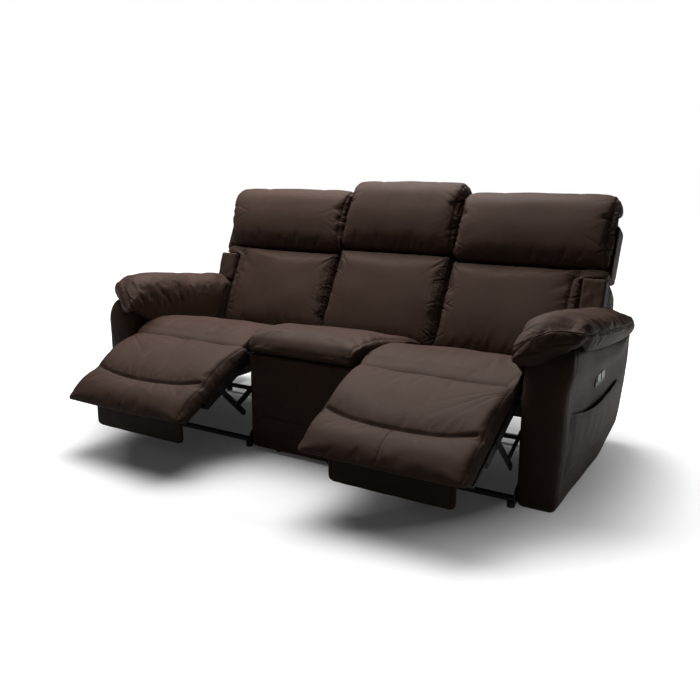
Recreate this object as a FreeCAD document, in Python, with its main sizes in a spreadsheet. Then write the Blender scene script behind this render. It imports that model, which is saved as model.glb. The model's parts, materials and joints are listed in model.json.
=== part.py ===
import FreeCAD, Part
import math
import os
import re
import Sketcher

# Three-seat sofa with two powered reclining seats and a fixed middle seat, in millimetres.
# X runs along the sofa, -Y is the front, Z is up and the glides stand on Z = 0.
# It is modelled with its footrests part raised and its backs upright.

SIZES = {
    # Layout along the sofa
    "middle_half": 240,
    "module_width": 626,
    "arm_width": 146,
    "front_to_origin": 309,
    # Steel mechanism
    "plate": 4,
    "running_gap": 1,
    "pin_radius": 6,
    "pin_clearance": 0.05,
    "tube_radius": 11,
    "tube_wall": 2,
    "front_tube_y": 20,
    "rear_tube_y": 600,
    "floor_tube_z": 30,
    "motor_tube_y": 585,
    "motor_tube_z": 200,
    "plate_front": 4,
    "plate_rear": 622,
    "plate_foot": 14,
    "plate_rail_height": 60,
    "window_margin": 36,
    "window_width": 170,
    "flange_width": 40,
    "flange_thickness": 3,
    "flange_front": 165,
    "flange_rear": 560,
    # Footrest hinge, and its angle below level
    "hinge_y": 35,
    "hinge_z": 375,
    "footrest_angle": 26.6,
    "hinge_lobe": 14,
    "carrier_length": 300,
    "carrier_above": 8,
    "carrier_below": 24,
    "carrier_cross_start": 25,
    "carrier_cross_end": 150,
    "guide_inset": 24,
    "guide_width": 46,
    "slide_gap": 0.3,
    # Footrest
    "board_start": 140,
    "board_end": 396,
    "board_thickness": 12,
    "pad_start": 215,
    "pad_end": 452,
    "pad_height": 54,
    "pad_mid_height": 72,
    "toe_height": 84,
    "toe_crest": 330,
    "toe_brow_height": 50,
    "toe_chin_height": 34,
    "toe_undercut": 402,
    "pad_inset": 40,
    "pad_side_gap": 1,
    "soft_gap": 0.3,
    "chaise_start": 2,
    "flipper_hinge_s": 375,
    "flipper_hinge_drop": 23,
    "flipper_thickness": 14,
    "flipper_length": 95,
    "flipper_half": 228,
    "flipper_pin_radius": 4,
    "lug_width": 10,
    # Linkage between the side plates and the footrest
    "link_base_y": 125,
    "link_base_z": 290,
    "link_length": 210,
    "link_half_width": 12,
    "link_tail": 60,
    "torque_tube_radius": 10,
    "crank_angle": 42.7,
    "crank_length": 140,
    "crank_half_width": 18,
    "crank_half_thickness": 3,
    "crank_slot_start": 84,
    "crank_slot_end": 128,
    "crank_slot_half": 8.6,
    # Drive
    "motor_length": 104,
    "motor_half_width": 35,
    "motor_half_height": 30,
    "guide_front": 258,
    "guide_bore_end": 442,
    "guide_half": 14,
    "rod_radius": 8,
    "rod_pin_y": 87.6,
    "rod_rear": 322,
    "fork_depth": 10,
    "fork_gap": 4,
    "fork_half": 10,
    "fork_slot": 40,
    "fork_length": 52,
    # Seats
    "seat_base_z": 303,
    "rail_height": 42,
    "rail_thickness": 18,
    "seat_frame_front": 70,
    "seat_frame_rear": 598,
    "slat_width": 60,
    "spring_radius": 2,
    "spring_pitch": 44,
    "spring_swing": 22,
    "spring_spacing": 120,
    "seat_rear": 598,
    "nose_undercut": 66,
    "nose_front": 38,
    "nose_low": 392,
    "nose_corner": 412,
    "nose_top": 440,
    "crown_front_y": 90,
    "crown_front_z": 466,
    "crown_rear_y": 330,
    "crown_rear_z": 462,
    "slope_y": 560,
    "slope_z": 412,
    "seat_rear_z": 398,
    "cushion_round": 12,
    "eased_edge": 14,
    # Middle seat
    "base_bottom": 30,
    "base_front": 22,
    "base_rear": 725,
    "base_back_board": 618,
    "front_panel_bottom": 20,
    "front_panel_top": 385,
    "front_panel_edge": 8,
    "middle_cushion_inset": 2,
    "middle_nose_top": 446,
    "middle_crown_y": 45,
    "middle_crown_z": 478,
    # Backs, measured up and forward from the back pivot
    "back_pivot_y": 600,
    "back_pivot_z": 365,
    "back_angle": 25,
    "pivot_lobe": 16,
    "pivot_pin_radius": 8,
    "frame_front": 60,
    "frame_thickness": 60,
    "frame_bottom": 20,
    "frame_top": 655,
    "frame_middle_bottom": 50,
    "frame_middle_inset": 18,
    "middle_extra_height": 46,
    "bracket_rise": 160,
    "bracket_neck": 28,
    "bracket_edge": 6,
    "cover_thickness": 3,
    "pad_front": 35,
    "pad_bottom": 45,
    "crease": 385,
    "pillow_top": 700,
    "pillow_over": 14,
    "pad_gap_from_middle": 288,
    "pillow_outer": 928,
    "lumbar_outer_gap": 8,
    "middle_pad_half": 280,
    # Arms
    "arm_bottom": 18,
    "arm_height": 555,
    "arm_depth": 930,
    "arm_front_round": 55,
    "arm_heel_start": 400,
    "arm_heel_low_y": 830,
    "arm_heel_low_z": 90,
    "arm_heel_high_y": 900,
    "arm_heel_high_z": 200,
    "arm_rear_z": 380,
    "arm_shoulder_y": 820,
    "arm_shoulder_drop": 50,
    "arm_top_rear": 700,
    "arm_round": 14,
    "arm_frame_front": 50,
    "arm_frame_rear": 700,
    "arm_frame_bottom": 70,
    "arm_frame_drop": 65,
    "arm_frame_foam": 20,
    "arm_frame_rail": 60,
    "arm_pad_thickness": 85,
    "arm_pad_inner_overhang": 28,
    "arm_pad_outer_overhang": 36,
    "arm_pad_front": 35,
    "arm_pad_rear": 800,
    "arm_pad_step": 540,
    "pocket_front": 110,
    "pocket_rear": 690,
    "pocket_bottom": 100,
    "pocket_top": 320,
    "pocket_depth": 10,
    "pocket_leather": 3,
    "pocket_hem": 10,
    "switch_front": 365,
    "switch_rear": 495,
    "switch_bottom": 352,
    "switch_top": 408,
    "switch_flange": 4,
    "switch_housing": 14,
    "switch_rim": 8,
    "button_length": 44,
    "button_height": 26,
    "button_gap": 0.4,
    "button_pitch": 56,
    "button_out": 2.5,
    "button_travel": 2,
    "button_floor": 0.5,
    "button_thickness": 8,
    # Glides
    "arm_glide_radius": 20,
    "arm_glide_inset": 60,
    "tube_glide_radius": 14,
    "middle_glide_radius": 12,
    "middle_glide_x": 120,
}

# Sizes that follow from the ones above
FORMULAS = {
    "arm_inner": "middle_half + module_width",
    "arm_outer": "arm_inner + arm_width",
    "module_middle": "middle_half + module_width / 2",
    "layer": "plate + running_gap",
    "link_fit": "pin_radius + pin_clearance",
    "pivot_fit": "pivot_pin_radius + pin_clearance",
    "deck_low": "middle_half + 4 * layer + 2",
    "deck_high": "arm_inner - 4 * layer - 2",
    "deck_top": "seat_base_z + rail_height",
    "spring_z": "deck_top + spring_radius",
    "cushion_bottom": "deck_top + 2 * spring_radius + soft_gap",
    "cushion_outer": "arm_inner - 4 * layer",
    "footrest_low": "middle_half + pad_inset",
    "footrest_high": "arm_inner - 3 * layer - plate - pad_side_gap",
    "riser_y": "hinge_y - link_base_y",
    "riser_z": "hinge_z - link_base_z",
    "riser_length": "sqrt((riser_y)^2 + (riser_z)^2)",
    "riser_angle": "atan2(riser_z; -(riser_y))",
    "knee_y": "link_base_y - link_length * cos(footrest_angle)",
    "knee_z": "link_base_z - link_length * sin(footrest_angle)",
    "frame_rear": "frame_front + frame_thickness",
    "back_low": "middle_half + layer + plate",
    "back_high": "arm_inner - layer - plate",
    "arm_frame_top": "arm_height - arm_frame_drop",
    "cavity_low": "arm_inner + arm_frame_foam",
    "cavity_high": "arm_outer - arm_frame_foam",
}

DOC = FreeCAD.newDocument("reclining_sofa")
NODES = []
LEFT, RIGHT = "left", "right"
INNER, OUTER = "inner", "outer"


def cell(formula):
    """Turn the size names in a formula into references to the sheet."""
    def swap(match):
        word = match.group(0)
        if word in FORMULAS:
            return "(" + cell(FORMULAS[word]) + ")"
        return "Sizes." + word if word in SIZES else word

    return re.sub(r"[a-z][a-z_0-9]*", swap, str(formula))


def make_sheet():
    """Keep every driving size in one spreadsheet, each under its own name."""
    sheet = DOC.addObject("Spreadsheet::Sheet", "Sizes")
    for row, (name, size) in enumerate(SIZES.items(), start=1):
        sheet.set(f"A{row}", name)
        sheet.set(f"B{row}", str(size))
        sheet.setAlias(f"B{row}", name)
    DOC.recompute()
    return sheet


SHEET = make_sheet()


def value(formula):
    """Work a formula out to a number."""
    result = SHEET.evalExpression(cell(formula))
    return float(getattr(result, "Value", result))


def bind(thing, field, formula):
    """Tie one property of an object to a formula of the sheet's sizes."""
    thing.setExpression(field, cell(formula))


def span(side, near, far):
    """Two places along the sofa, mirrored for the left side."""
    return (near, far) if side == RIGHT else (f"-({far})", f"-({near})")


def layer_span(side, flank, number):
    """Where steel layer `number` lies, counted from the module's inner or outer boundary."""
    if flank == INNER:
        near = f"middle_half + {number} * layer"
        return span(side, near, f"{near} + plate")
    far = f"arm_inner - {number} * layer"
    return span(side, f"{far} - plate", far)


def across(side, flank, start, end):
    """The stretch from one distance to another, counted inwards from a module's boundary."""
    if flank == INNER:
        return span(side, f"middle_half + {start}", f"middle_half + {end}")
    return span(side, f"arm_inner - ({end})", f"arm_inner - ({start})")


def block(x, y, z):
    """A box between two formulas on each axis."""
    box = DOC.addObject("Part::Box", "Block")
    for size, (low, high), axis in zip(("Length", "Width", "Height"), (x, y, z), "xyz"):
        bind(box, size, f"({high}) - ({low})")
        bind(box, f"Placement.Base.{axis}", low)
    return box


def cylinder(direction, along, centre, radius):
    """A round bar along one axis; centre gives its place on the other two, in axis order."""
    bar = DOC.addObject("Part::Cylinder", "Round")
    turns = {"x": ((0, 1, 0), 90), "y": ((1, 0, 0), -90), "z": ((0, 0, 1), 0)}
    axis, angle = turns[direction]
    bar.Placement = FreeCAD.Placement(FreeCAD.Vector(), FreeCAD.Rotation(FreeCAD.Vector(*axis), angle))
    bind(bar, "Radius", radius)
    bind(bar, "Height", f"({along[1]}) - ({along[0]})")
    bind(bar, f"Placement.Base.{direction}", along[0])
    for name, place in zip([a for a in "xyz" if a != direction], centre):
        bind(bar, f"Placement.Base.{name}", place)
    return bar


def fuse(pieces):
    """Join pieces that touch into one solid."""
    joined = DOC.addObject("Part::MultiFuse", "Joined")
    joined.Shapes = pieces
    joined.Refine = True
    return joined


def cut(base, tools):
    """Take tools away from a base."""
    result = DOC.addObject("Part::Cut", "Cut")
    result.Base = base
    result.Tool = tools[0] if len(tools) == 1 else group(tools)
    return result


def group(pieces):
    """Hold separate solids together in one object."""
    held = DOC.addObject("Part::Compound", "Group")
    held.Links = pieces
    return held


def turned(piece, angle):
    """Turn a piece about the X axis through its own origin."""
    holder = group([piece])
    holder.Placement = FreeCAD.Placement(
        FreeCAD.Vector(), FreeCAD.Rotation(FreeCAD.Vector(1, 0, 0), 10)
    )
    bind(holder, "Placement.Rotation.Angle", angle)
    return holder


def origin_plane(body, role):
    """One of a body's own origin planes."""
    return next(f for f in body.Origin.OriginFeatures if f.Role == role)


def attached_sketch(body, role, name):
    """An empty sketch on one of the body's origin planes."""
    sketch = body.newObject("Sketcher::SketchObject", name)
    sketch.AttachmentSupport = (origin_plane(body, role), "")
    sketch.MapMode = "FlatFace"
    return sketch


def pin_point(sketch, geometry, point, place):
    """Fix one point of a sketch at two formulas."""
    for kind, formula in zip(("DistanceX", "DistanceY"), place):
        index = sketch.addConstraint(
            Sketcher.Constraint(kind, -1, 1, geometry, point, value(formula))
        )
        bind(sketch, f"Constraints[{index}]", formula)


def draw_outline(sketch, points, first=0):
    """A closed outline through points given as formulas."""
    corners = [FreeCAD.Vector(value(a), value(b), 0) for a, b in points]
    for start, end in zip(corners, corners[1:] + corners[:1]):
        sketch.addGeometry(Part.LineSegment(start, end), False)
    count = len(corners)
    for index in range(count):
        following = first + (index + 1) % count
        sketch.addConstraint(Sketcher.Constraint("Coincident", first + index, 2, following, 1))
    for index, place in enumerate(points):
        pin_point(sketch, first + index, 1, place)


def draw_circle(sketch, index, place, radius):
    """A circle in a sketch, at formulas."""
    centre = FreeCAD.Vector(value(place[0]), value(place[1]), 0)
    sketch.addGeometry(Part.Circle(centre, FreeCAD.Vector(0, 0, 1), value(radius)), False)
    pin_point(sketch, index, 3, place)
    number = sketch.addConstraint(Sketcher.Constraint("Radius", index, value(radius)))
    bind(sketch, f"Constraints[{number}]", radius)


def profile(points, x, round_size=None):
    """A body whose side outline, in Y and Z, runs straight along X."""
    body = DOC.addObject("PartDesign::Body", "Profile")
    sketch = attached_sketch(body, "YZ_Plane", "Outline")
    draw_outline(sketch, points)
    pad = body.newObject("PartDesign::Pad", "Run")
    pad.Profile = sketch
    bind(pad, "Length", f"({x[1]}) - ({x[0]})")
    bind(body, "Placement.Base.x", x[0])
    if round_size:
        round_off(body, pad, round_size)
    return body


def slab(points, z, round_size=None):
    """A body whose plan outline, in X and Y, runs straight up."""
    body = DOC.addObject("PartDesign::Body", "Slab")
    sketch = attached_sketch(body, "XY_Plane", "Plan")
    draw_outline(sketch, points)
    pad = body.newObject("PartDesign::Pad", "Rise")
    pad.Profile = sketch
    bind(pad, "Length", f"({z[1]}) - ({z[0]})")
    bind(body, "Placement.Base.z", z[0])
    if round_size:
        round_off(body, pad, round_size)
    return body


def round_off(body, pad, radius):
    """Round every edge of a padded outline."""
    DOC.recompute()
    fillet = body.newObject("PartDesign::Fillet", "Rounding")
    fillet.Base = (pad, [f"Edge{n}" for n in range(1, len(pad.Shape.Edges) + 1)])
    bind(fillet, "Radius", radius)
    body.Tip = fillet


def pierce(body, holes):
    """Drill round holes, given as ((y, z), radius), through a profile."""
    sketch = attached_sketch(body, "YZ_Plane", "Holes")
    for index, (place, radius) in enumerate(holes):
        draw_circle(sketch, index, place, radius)
    pocket = body.newObject("PartDesign::Pocket", "Drilled")
    pocket.Profile = sketch
    pocket.Type = "ThroughAll"
    pocket.Midplane = True
    body.Tip = pocket


def node(label, piece, frame="floor"):
    """Name a finished piece and put its frame where it belongs on the sofa."""
    if piece.TypeId in ("Part::Box", "Part::Cylinder", "PartDesign::Body"):
        piece = group([piece])
    piece.Label = label
    place_y, place_z, angle = FRAMES[frame]
    piece.Placement = FreeCAD.Placement(
        FreeCAD.Vector(), FreeCAD.Rotation(FreeCAD.Vector(1, 0, 0), 10)
    )
    bind(piece, "Placement.Rotation.Angle", angle)
    bind(piece, "Placement.Base.y", f"{place_y} - front_to_origin")
    bind(piece, "Placement.Base.z", place_z)
    NODES.append(piece)


# Each frame: where its origin lies behind the arm fronts and above the floor, and its turn about X
FRAMES = {
    "floor": ("0", "0", "0"),
    "footrest": ("hinge_y", "hinge_z", "footrest_angle"),
    "link": ("link_base_y", "link_base_z", "footrest_angle"),
    "riser": ("knee_y", "knee_z", "-(riser_angle)"),
    "back": ("back_pivot_y", "back_pivot_z", "-back_angle"),
}


def flat_link(x, start, end, holes=(), pins=()):
    """A flat steel bar with round ends, along -Y, with holes and fixed pins."""
    bar = [
        block(x, (f"-({end})", f"-({start})"), ("-link_half_width", "link_half_width")),
        cylinder("x", x, (f"-({start})", "0"), "link_half_width"),
        cylinder("x", x, (f"-({end})", "0"), "link_half_width"),
    ]
    bar += [cylinder("x", reach, (f"-({at})", "0"), "pin_radius") for at, reach in pins]
    solid = fuse(bar)
    if holes:
        solid = cut(solid, [cylinder("x", x, (f"-({at})", "0"), "link_fit") for at in holes])
    return solid


def make_side_plates(side):
    """The two fixed steel plates that carry one seat's tubes, pivots and deck."""
    outline = [
        ("plate_front", "plate_foot"),
        ("plate_rear", "plate_foot"),
        ("plate_rear", "back_pivot_z + pivot_lobe"),
        ("back_pivot_y - pivot_lobe", "back_pivot_z + pivot_lobe"),
        ("flange_rear", "seat_base_z"),
        ("flange_front", "seat_base_z"),
        ("link_base_y", "link_base_z + hinge_lobe"),
        ("hinge_y + hinge_lobe", "hinge_z + hinge_lobe"),
        ("hinge_y - hinge_lobe", "hinge_z + hinge_lobe"),
        ("hinge_y - hinge_lobe", "hinge_z - hinge_lobe"),
        ("hinge_y + hinge_lobe", "link_base_z - hinge_lobe"),
        ("hinge_y + hinge_lobe", "plate_rail_height + window_margin"),
        ("plate_front", "plate_rail_height"),
    ]
    holes = [
        (("front_tube_y", "floor_tube_z"), "tube_radius"),
        (("rear_tube_y", "floor_tube_z"), "tube_radius"),
        (("motor_tube_y", "motor_tube_z"), "tube_radius"),
        (("link_base_y", "link_base_z"), "link_fit"),
        (("back_pivot_y", "back_pivot_z"), "pivot_pin_radius"),
    ]
    window_z = ("plate_rail_height + window_margin / 2", "seat_base_z - window_margin")
    first = "link_base_y + window_margin"
    second = f"{first} + window_width + window_margin"
    plates = []
    for flank in (INNER, OUTER):
        x = layer_span(side, flank, 0)
        sheet = profile(outline, x)
        pierce(sheet, holes)
        windows = [
            block(x, (start, f"{start} + window_width"), window_z) for start in (first, second)
        ]
        flange = block(
            across(side, flank, "0", "flange_width"),
            ("flange_front", "flange_rear"),
            ("seat_base_z - flange_thickness", "seat_base_z"),
        )
        hinge_pin = cylinder(
            "x",
            across(side, flank, "0", "3 * layer + plate + running_gap"),
            ("hinge_y", "hinge_z"),
            "pin_radius",
        )
        back_pin = cylinder(
            "x",
            across(side, flank, "0", "layer + plate"),
            ("back_pivot_y", "back_pivot_z"),
            "pivot_pin_radius",
        )
        plates.append(fuse([cut(sheet, windows), flange, hinge_pin, back_pin]))
    node(f"side_plates_{side}", group(plates))


def make_tubes(side):
    """Two floor tubes and the tube that the drive pushes against."""
    x = span(side, "middle_half", "arm_inner")
    places = [
        ("front_tube_y", "floor_tube_z"),
        ("rear_tube_y", "floor_tube_z"),
        ("motor_tube_y", "motor_tube_z"),
    ]
    tubes = [
        cut(
            cylinder("x", x, place, "tube_radius"),
            [cylinder("x", x, place, "tube_radius - tube_wall")],
        )
        for place in places
    ]
    node(f"cross_tubes_{side}", group(tubes))


def make_seat_frame(side):
    """A ring of rails with two slats, on the plates' flanges."""
    x = span(side, "deck_low", "deck_high")
    y = ("seat_frame_front", "seat_frame_rear")
    z = ("seat_base_z", "deck_top")
    window = "(seat_frame_rear - seat_frame_front - 2 * rail_thickness - 2 * slat_width) / 3"
    openings = []
    for index in range(3):
        start = f"seat_frame_front + rail_thickness + {index} * ({window} + slat_width)"
        inside = span(side, "deck_low + rail_thickness", "deck_high - rail_thickness")
        openings.append(block(inside, (start, f"{start} + {window}"), z))
    node(f"seat_frame_{side}", cut(block(x, y, z), openings))


def sinuous_spring(x, start, end):
    """A zigzag wire that lies on the front and rear rails, mirrored about the sofa's middle."""
    pitch = value("spring_pitch")
    swing = value("spring_swing")
    wire_radius = value("spring_radius")
    height = value("spring_z")
    turns = int((end - start) // pitch)
    bend = (end - start) / turns / 2
    sign = 1 if x > 0 else -1
    point = FreeCAD.Vector(x - sign * swing, start, height)
    edges = []
    for _ in range(turns):
        across_end = FreeCAD.Vector(x + sign * swing, point.y, height)
        edges.append(Part.LineSegment(point, across_end).toShape())
        top = FreeCAD.Vector(x + sign * (swing + bend), point.y + bend, height)
        after = FreeCAD.Vector(x + sign * swing, point.y + 2 * bend, height)
        edges.append(Part.Arc(across_end, top, after).toShape())
        point = after
        sign = -sign
    path = Part.Wire(edges)
    ring = Part.Wire(Part.makeCircle(wire_radius, edges[0].Vertexes[0].Point, FreeCAD.Vector(1, 0, 0)))
    return path.makePipeShell([ring], True, False)


def make_springs():
    """Four zigzag springs under each cushion."""
    rail = value("rail_thickness") / 2
    ends = {
        0: (value("base_front") + rail, value("base_back_board") - rail),
        value("module_middle"): (value("seat_frame_front") + rail, value("seat_frame_rear") - rail),
    }
    ends[-value("module_middle")] = ends[value("module_middle")]
    wires = []
    for middle, (start, end) in ends.items():
        for place in (-1.5, -0.5, 0.5, 1.5):
            spring = DOC.addObject("Part::Feature", "Spring")
            spring.Shape = sinuous_spring(middle + place * value("spring_spacing"), start, end)
            wires.append(spring)
    node("seat_springs", group(wires))


def make_cushions():
    """Three soft seats, each a closed solid under its cover."""
    outline = [
        ("nose_undercut", "cushion_bottom"),
        ("seat_rear", "cushion_bottom"),
        ("seat_rear", "seat_rear_z"),
        ("slope_y", "slope_z"),
        ("crown_rear_y", "crown_rear_z"),
        ("crown_front_y", "crown_front_z"),
        ("nose_front", "nose_top"),
        ("nose_front", "nose_corner"),
        ("nose_undercut", "nose_low"),
    ]
    for side in (LEFT, RIGHT):
        x = span(side, "deck_low", "cushion_outer")
        node(f"seat_cushion_{side}", profile(outline, x, "cushion_round"))
    middle = [
        ("base_front + 1", "cushion_bottom"),
        ("seat_rear", "cushion_bottom"),
        ("seat_rear", "seat_rear_z"),
        ("slope_y", "slope_z"),
        ("crown_rear_y", "crown_rear_z"),
        ("middle_crown_y", "middle_crown_z"),
        ("0", "middle_nose_top"),
        ("0", "front_panel_top + soft_gap"),
        ("base_front + 1", "front_panel_top + soft_gap"),
    ]
    x = ("middle_cushion_inset - middle_half", "middle_half - middle_cushion_inset")
    node("seat_cushion_middle", profile(middle, x, "cushion_round / 2"))


def make_middle_base():
    """The wooden box of the fixed seat, with ears that hold its back."""
    sides = []
    outline = [
        ("base_front", "base_bottom"),
        ("base_rear", "base_bottom"),
        ("base_rear", "deck_top - rail_height"),
        ("seat_rear + 2 * rail_thickness", "deck_top"),
        ("base_front", "deck_top"),
    ]
    for side in (LEFT, RIGHT):
        x = span(side, "middle_half - rail_thickness", "middle_half")
        sides.append(profile(outline, x))
    x = ("rail_thickness - middle_half", "middle_half - rail_thickness")
    z = ("base_bottom", "deck_top")
    front = block(x, ("base_front", "base_front + rail_thickness"), z)
    rear = block(x, ("base_back_board - rail_thickness", "base_back_board"), z)
    depth = "base_back_board - base_front"
    slats = []
    for share in (1, 2, 3):
        centre = f"base_front + {share} * ({depth}) / 4"
        y = (f"{centre} - slat_width / 2", f"{centre} + slat_width / 2")
        slats.append(block(x, y, ("deck_top - rail_thickness", "deck_top")))
    node("middle_base", fuse(sides + [front, rear] + slats))
    panel = [
        ("0", "front_panel_bottom"),
        ("base_front", "front_panel_bottom"),
        ("base_front", "front_panel_top - front_panel_edge"),
        ("base_front - front_panel_edge", "front_panel_top"),
        ("0", "front_panel_top"),
    ]
    node("middle_front_panel", profile(panel, ("-middle_half", "middle_half")))


def make_backs():
    """Three backs: wooden frame, rear cover, lumbar pad and head pillow."""
    extra = {LEFT: "0", RIGHT: "0", "middle": "middle_extra_height"}
    middle_pad = ("-middle_pad_half", "middle_pad_half")
    frame_half = "middle_half - frame_middle_inset"
    for side, taller in extra.items():
        if side == "middle":
            frame_x = (f"-({frame_half})", frame_half)
            lumbar_x = pillow_x = middle_pad
            bottom = "-frame_middle_bottom"
        else:
            frame_x = span(side, "back_low", "back_high")
            lumbar_x = span(side, "pad_gap_from_middle", "arm_inner - lumbar_outer_gap")
            pillow_x = span(side, "pad_gap_from_middle", "pillow_outer")
            bottom = "frame_bottom"
        top = f"frame_top + {taller}"
        crease = f"crease + {taller} / 2"
        pads_y = ("-pad_front", "frame_front")
        frame = [
            ("frame_front", bottom),
            ("frame_rear", bottom),
            ("frame_rear", top),
            ("frame_front + eased_edge", top),
            ("frame_front", f"{top} - eased_edge"),
        ]
        node(f"back_frame_{side}", profile(frame, frame_x), "back")
        node(
            f"back_cover_{side}",
            block(frame_x, ("frame_rear", "frame_rear + cover_thickness"), (bottom, top)),
            "back",
        )
        lumbar = [
            ("-pad_front", "pad_bottom"),
            ("frame_front", "pad_bottom"),
            ("frame_front", crease),
            ("-pad_front", crease),
        ]
        node(f"lumbar_pad_{side}", profile(lumbar, lumbar_x, "cushion_round"), "back")
        pillow = [
            (pads_y[0], f"{crease} + soft_gap"),
            (pads_y[1], f"{crease} + soft_gap"),
            ("frame_front", f"{top} + soft_gap"),
            ("frame_rear - pillow_over", f"{top} + soft_gap"),
            ("frame_rear - pillow_over", f"pillow_top + {taller}"),
            (pads_y[0], f"pillow_top + {taller}"),
        ]
        node(f"head_pillow_{side}", profile(pillow, pillow_x, "cushion_round"), "back")


def make_back_brackets(side):
    """Steel arms that carry the back on its pivots."""
    outline = [
        ("-pivot_lobe", "-pivot_lobe"),
        ("frame_rear - bracket_edge", "-pivot_lobe"),
        ("frame_rear - bracket_edge", "bracket_rise"),
        ("frame_front + bracket_edge", "bracket_rise"),
        ("frame_front + bracket_edge", "bracket_neck"),
        ("-pivot_lobe", "pivot_lobe"),
    ]
    arms = []
    for flank in (INNER, OUTER):
        arm = profile(outline, layer_span(side, flank, 1))
        pierce(arm, [(("0", "0"), "pivot_fit")])
        arms.append(arm)
    node(f"back_brackets_{side}", group(arms), "back")


def make_carrier(side):
    """The steel frame that turns at the seat front and guides the footrest."""
    high = ("-carrier_below", "carrier_above")
    rail_z = ("-carrier_below", "-board_thickness - slide_gap")
    bars = []
    for flank in (INNER, OUTER):
        x = layer_span(side, flank, 3)
        bars.append(block(x, ("-carrier_length", "0"), high))
        bars.append(cylinder("x", x, ("0", "0"), "hinge_lobe"))
        pin = across(side, flank, "2 * layer", "3 * layer")
        bars.append(cylinder("x", pin, ("-link_length", "0"), "pin_radius"))
        guide = across(side, flank, "3 * layer + plate", "guide_inset + guide_width")
        bars.append(block(guide, ("-carrier_length", "-carrier_cross_start"), rail_z))
    ends = span(side, "middle_half + 3 * layer + plate", "arm_inner - 3 * layer - plate")
    bars.append(block(ends, ("-carrier_cross_end", "-carrier_cross_start"), rail_z))
    holes = [
        cylinder("x", layer_span(side, flank, 3), ("0", "0"), "link_fit") for flank in (INNER, OUTER)
    ]
    node(f"footrest_carrier_{side}", cut(fuse(bars), holes), "footrest")


def make_footrest(side):
    """Footrest board with its lugs, toe pad, chaise pad and the flipper that swings out below."""
    x = span(side, "footrest_low", "footrest_high")
    sheet = block(x, ("-board_end", "-board_start"), ("-board_thickness", "0"))
    lug_low = "-flipper_hinge_drop - lug_width"
    hinge = ("-flipper_hinge_s", "-flipper_hinge_drop")
    near = "module_middle - flipper_half"
    far = "module_middle + flipper_half"
    lug_spans = [
        span(side, f"{near} - running_gap / 2 - lug_width", f"{near} - running_gap / 2"),
        span(side, f"{far} + running_gap / 2", f"{far} + running_gap / 2 + lug_width"),
    ]
    lug_y = ("-flipper_hinge_s - lug_width", "-flipper_hinge_s + lug_width")
    lugs = [block(lug, lug_y, (lug_low, "-board_thickness")) for lug in lug_spans]
    bores = [
        cylinder("x", lug, hinge, "flipper_pin_radius + pin_clearance") for lug in lug_spans
    ]
    node(f"footrest_board_{side}", cut(fuse([sheet] + lugs), bores), "footrest")
    toe = [
        ("-toe_undercut", "0"),
        ("-pad_start", "0"),
        ("-pad_start", "pad_mid_height"),
        ("-toe_crest", "toe_height"),
        ("-pad_end", "toe_brow_height"),
        ("-pad_end", "toe_chin_height"),
    ]
    node(f"toe_pad_{side}", profile(toe, x, "cushion_round"), "footrest")
    chaise = [
        ("-pad_start + 1", "soft_gap"),
        ("-chaise_start", "soft_gap"),
        ("-chaise_start", "pad_height"),
        ("-pad_start + 1", "pad_mid_height"),
    ]
    node(f"chaise_pad_{side}", profile(chaise, x), "footrest")
    make_flipper(side, near, far)


def make_flipper(side, near, far):
    """The small front board that hangs from the footrest and folds flat behind it."""
    pin_ends = span(
        side,
        f"{near} - running_gap / 2 - lug_width",
        f"{far} + running_gap / 2 + lug_width",
    )
    half = "flipper_thickness / 2"
    leaf = block(
        span(side, near, far), (f"-{half}", half), ("-flipper_length", half)
    )
    pin = cylinder("x", pin_ends, ("0", "0"), "flipper_pin_radius")
    node(f"flipper_{side}", fuse([leaf, pin]), "flipper")


FRAMES["flipper"] = (
    "hinge_y - flipper_hinge_s * cos(footrest_angle) + flipper_hinge_drop * sin(footrest_angle)",
    "hinge_z - flipper_hinge_s * sin(footrest_angle) - flipper_hinge_drop * cos(footrest_angle)",
    "0",
)


def make_links(side):
    """Lower links with their torque tube and crank, and the links that hang from the carrier."""
    pieces = []
    for flank in (INNER, OUTER):
        bar = layer_span(side, flank, 1)
        base_pin = across(side, flank, "0", "layer")
        knee_pin = across(side, flank, "layer + plate", "2 * layer + plate")
        pieces.append(
            flat_link(bar, "0", "link_length", pins=[("0", base_pin), ("link_length", knee_pin)])
        )
    tube = cylinder(
        "x",
        span(side, "middle_half + layer + plate", "arm_inner - layer - plate"),
        ("0", "0"),
        "torque_tube_radius",
    )
    crank_x = span(
        side, "module_middle - crank_half_thickness", "module_middle + crank_half_thickness"
    )
    lever = cut(
        block(crank_x, ("-crank_length", "0"), ("-crank_half_width", "crank_half_width")),
        [
            block(
                crank_x,
                ("-crank_slot_end", "-crank_slot_start"),
                ("-crank_slot_half", "crank_slot_half"),
            )
        ],
    )
    node(f"lower_links_{side}", fuse(pieces + [tube, turned(lever, "crank_angle")]), "link")
    risers = [
        flat_link(
            layer_span(side, flank, 2), "-link_tail", "riser_length", holes=("0", "riser_length")
        )
        for flank in (INNER, OUTER)
    ]
    node(f"upper_links_{side}", group(risers), "riser")


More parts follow.
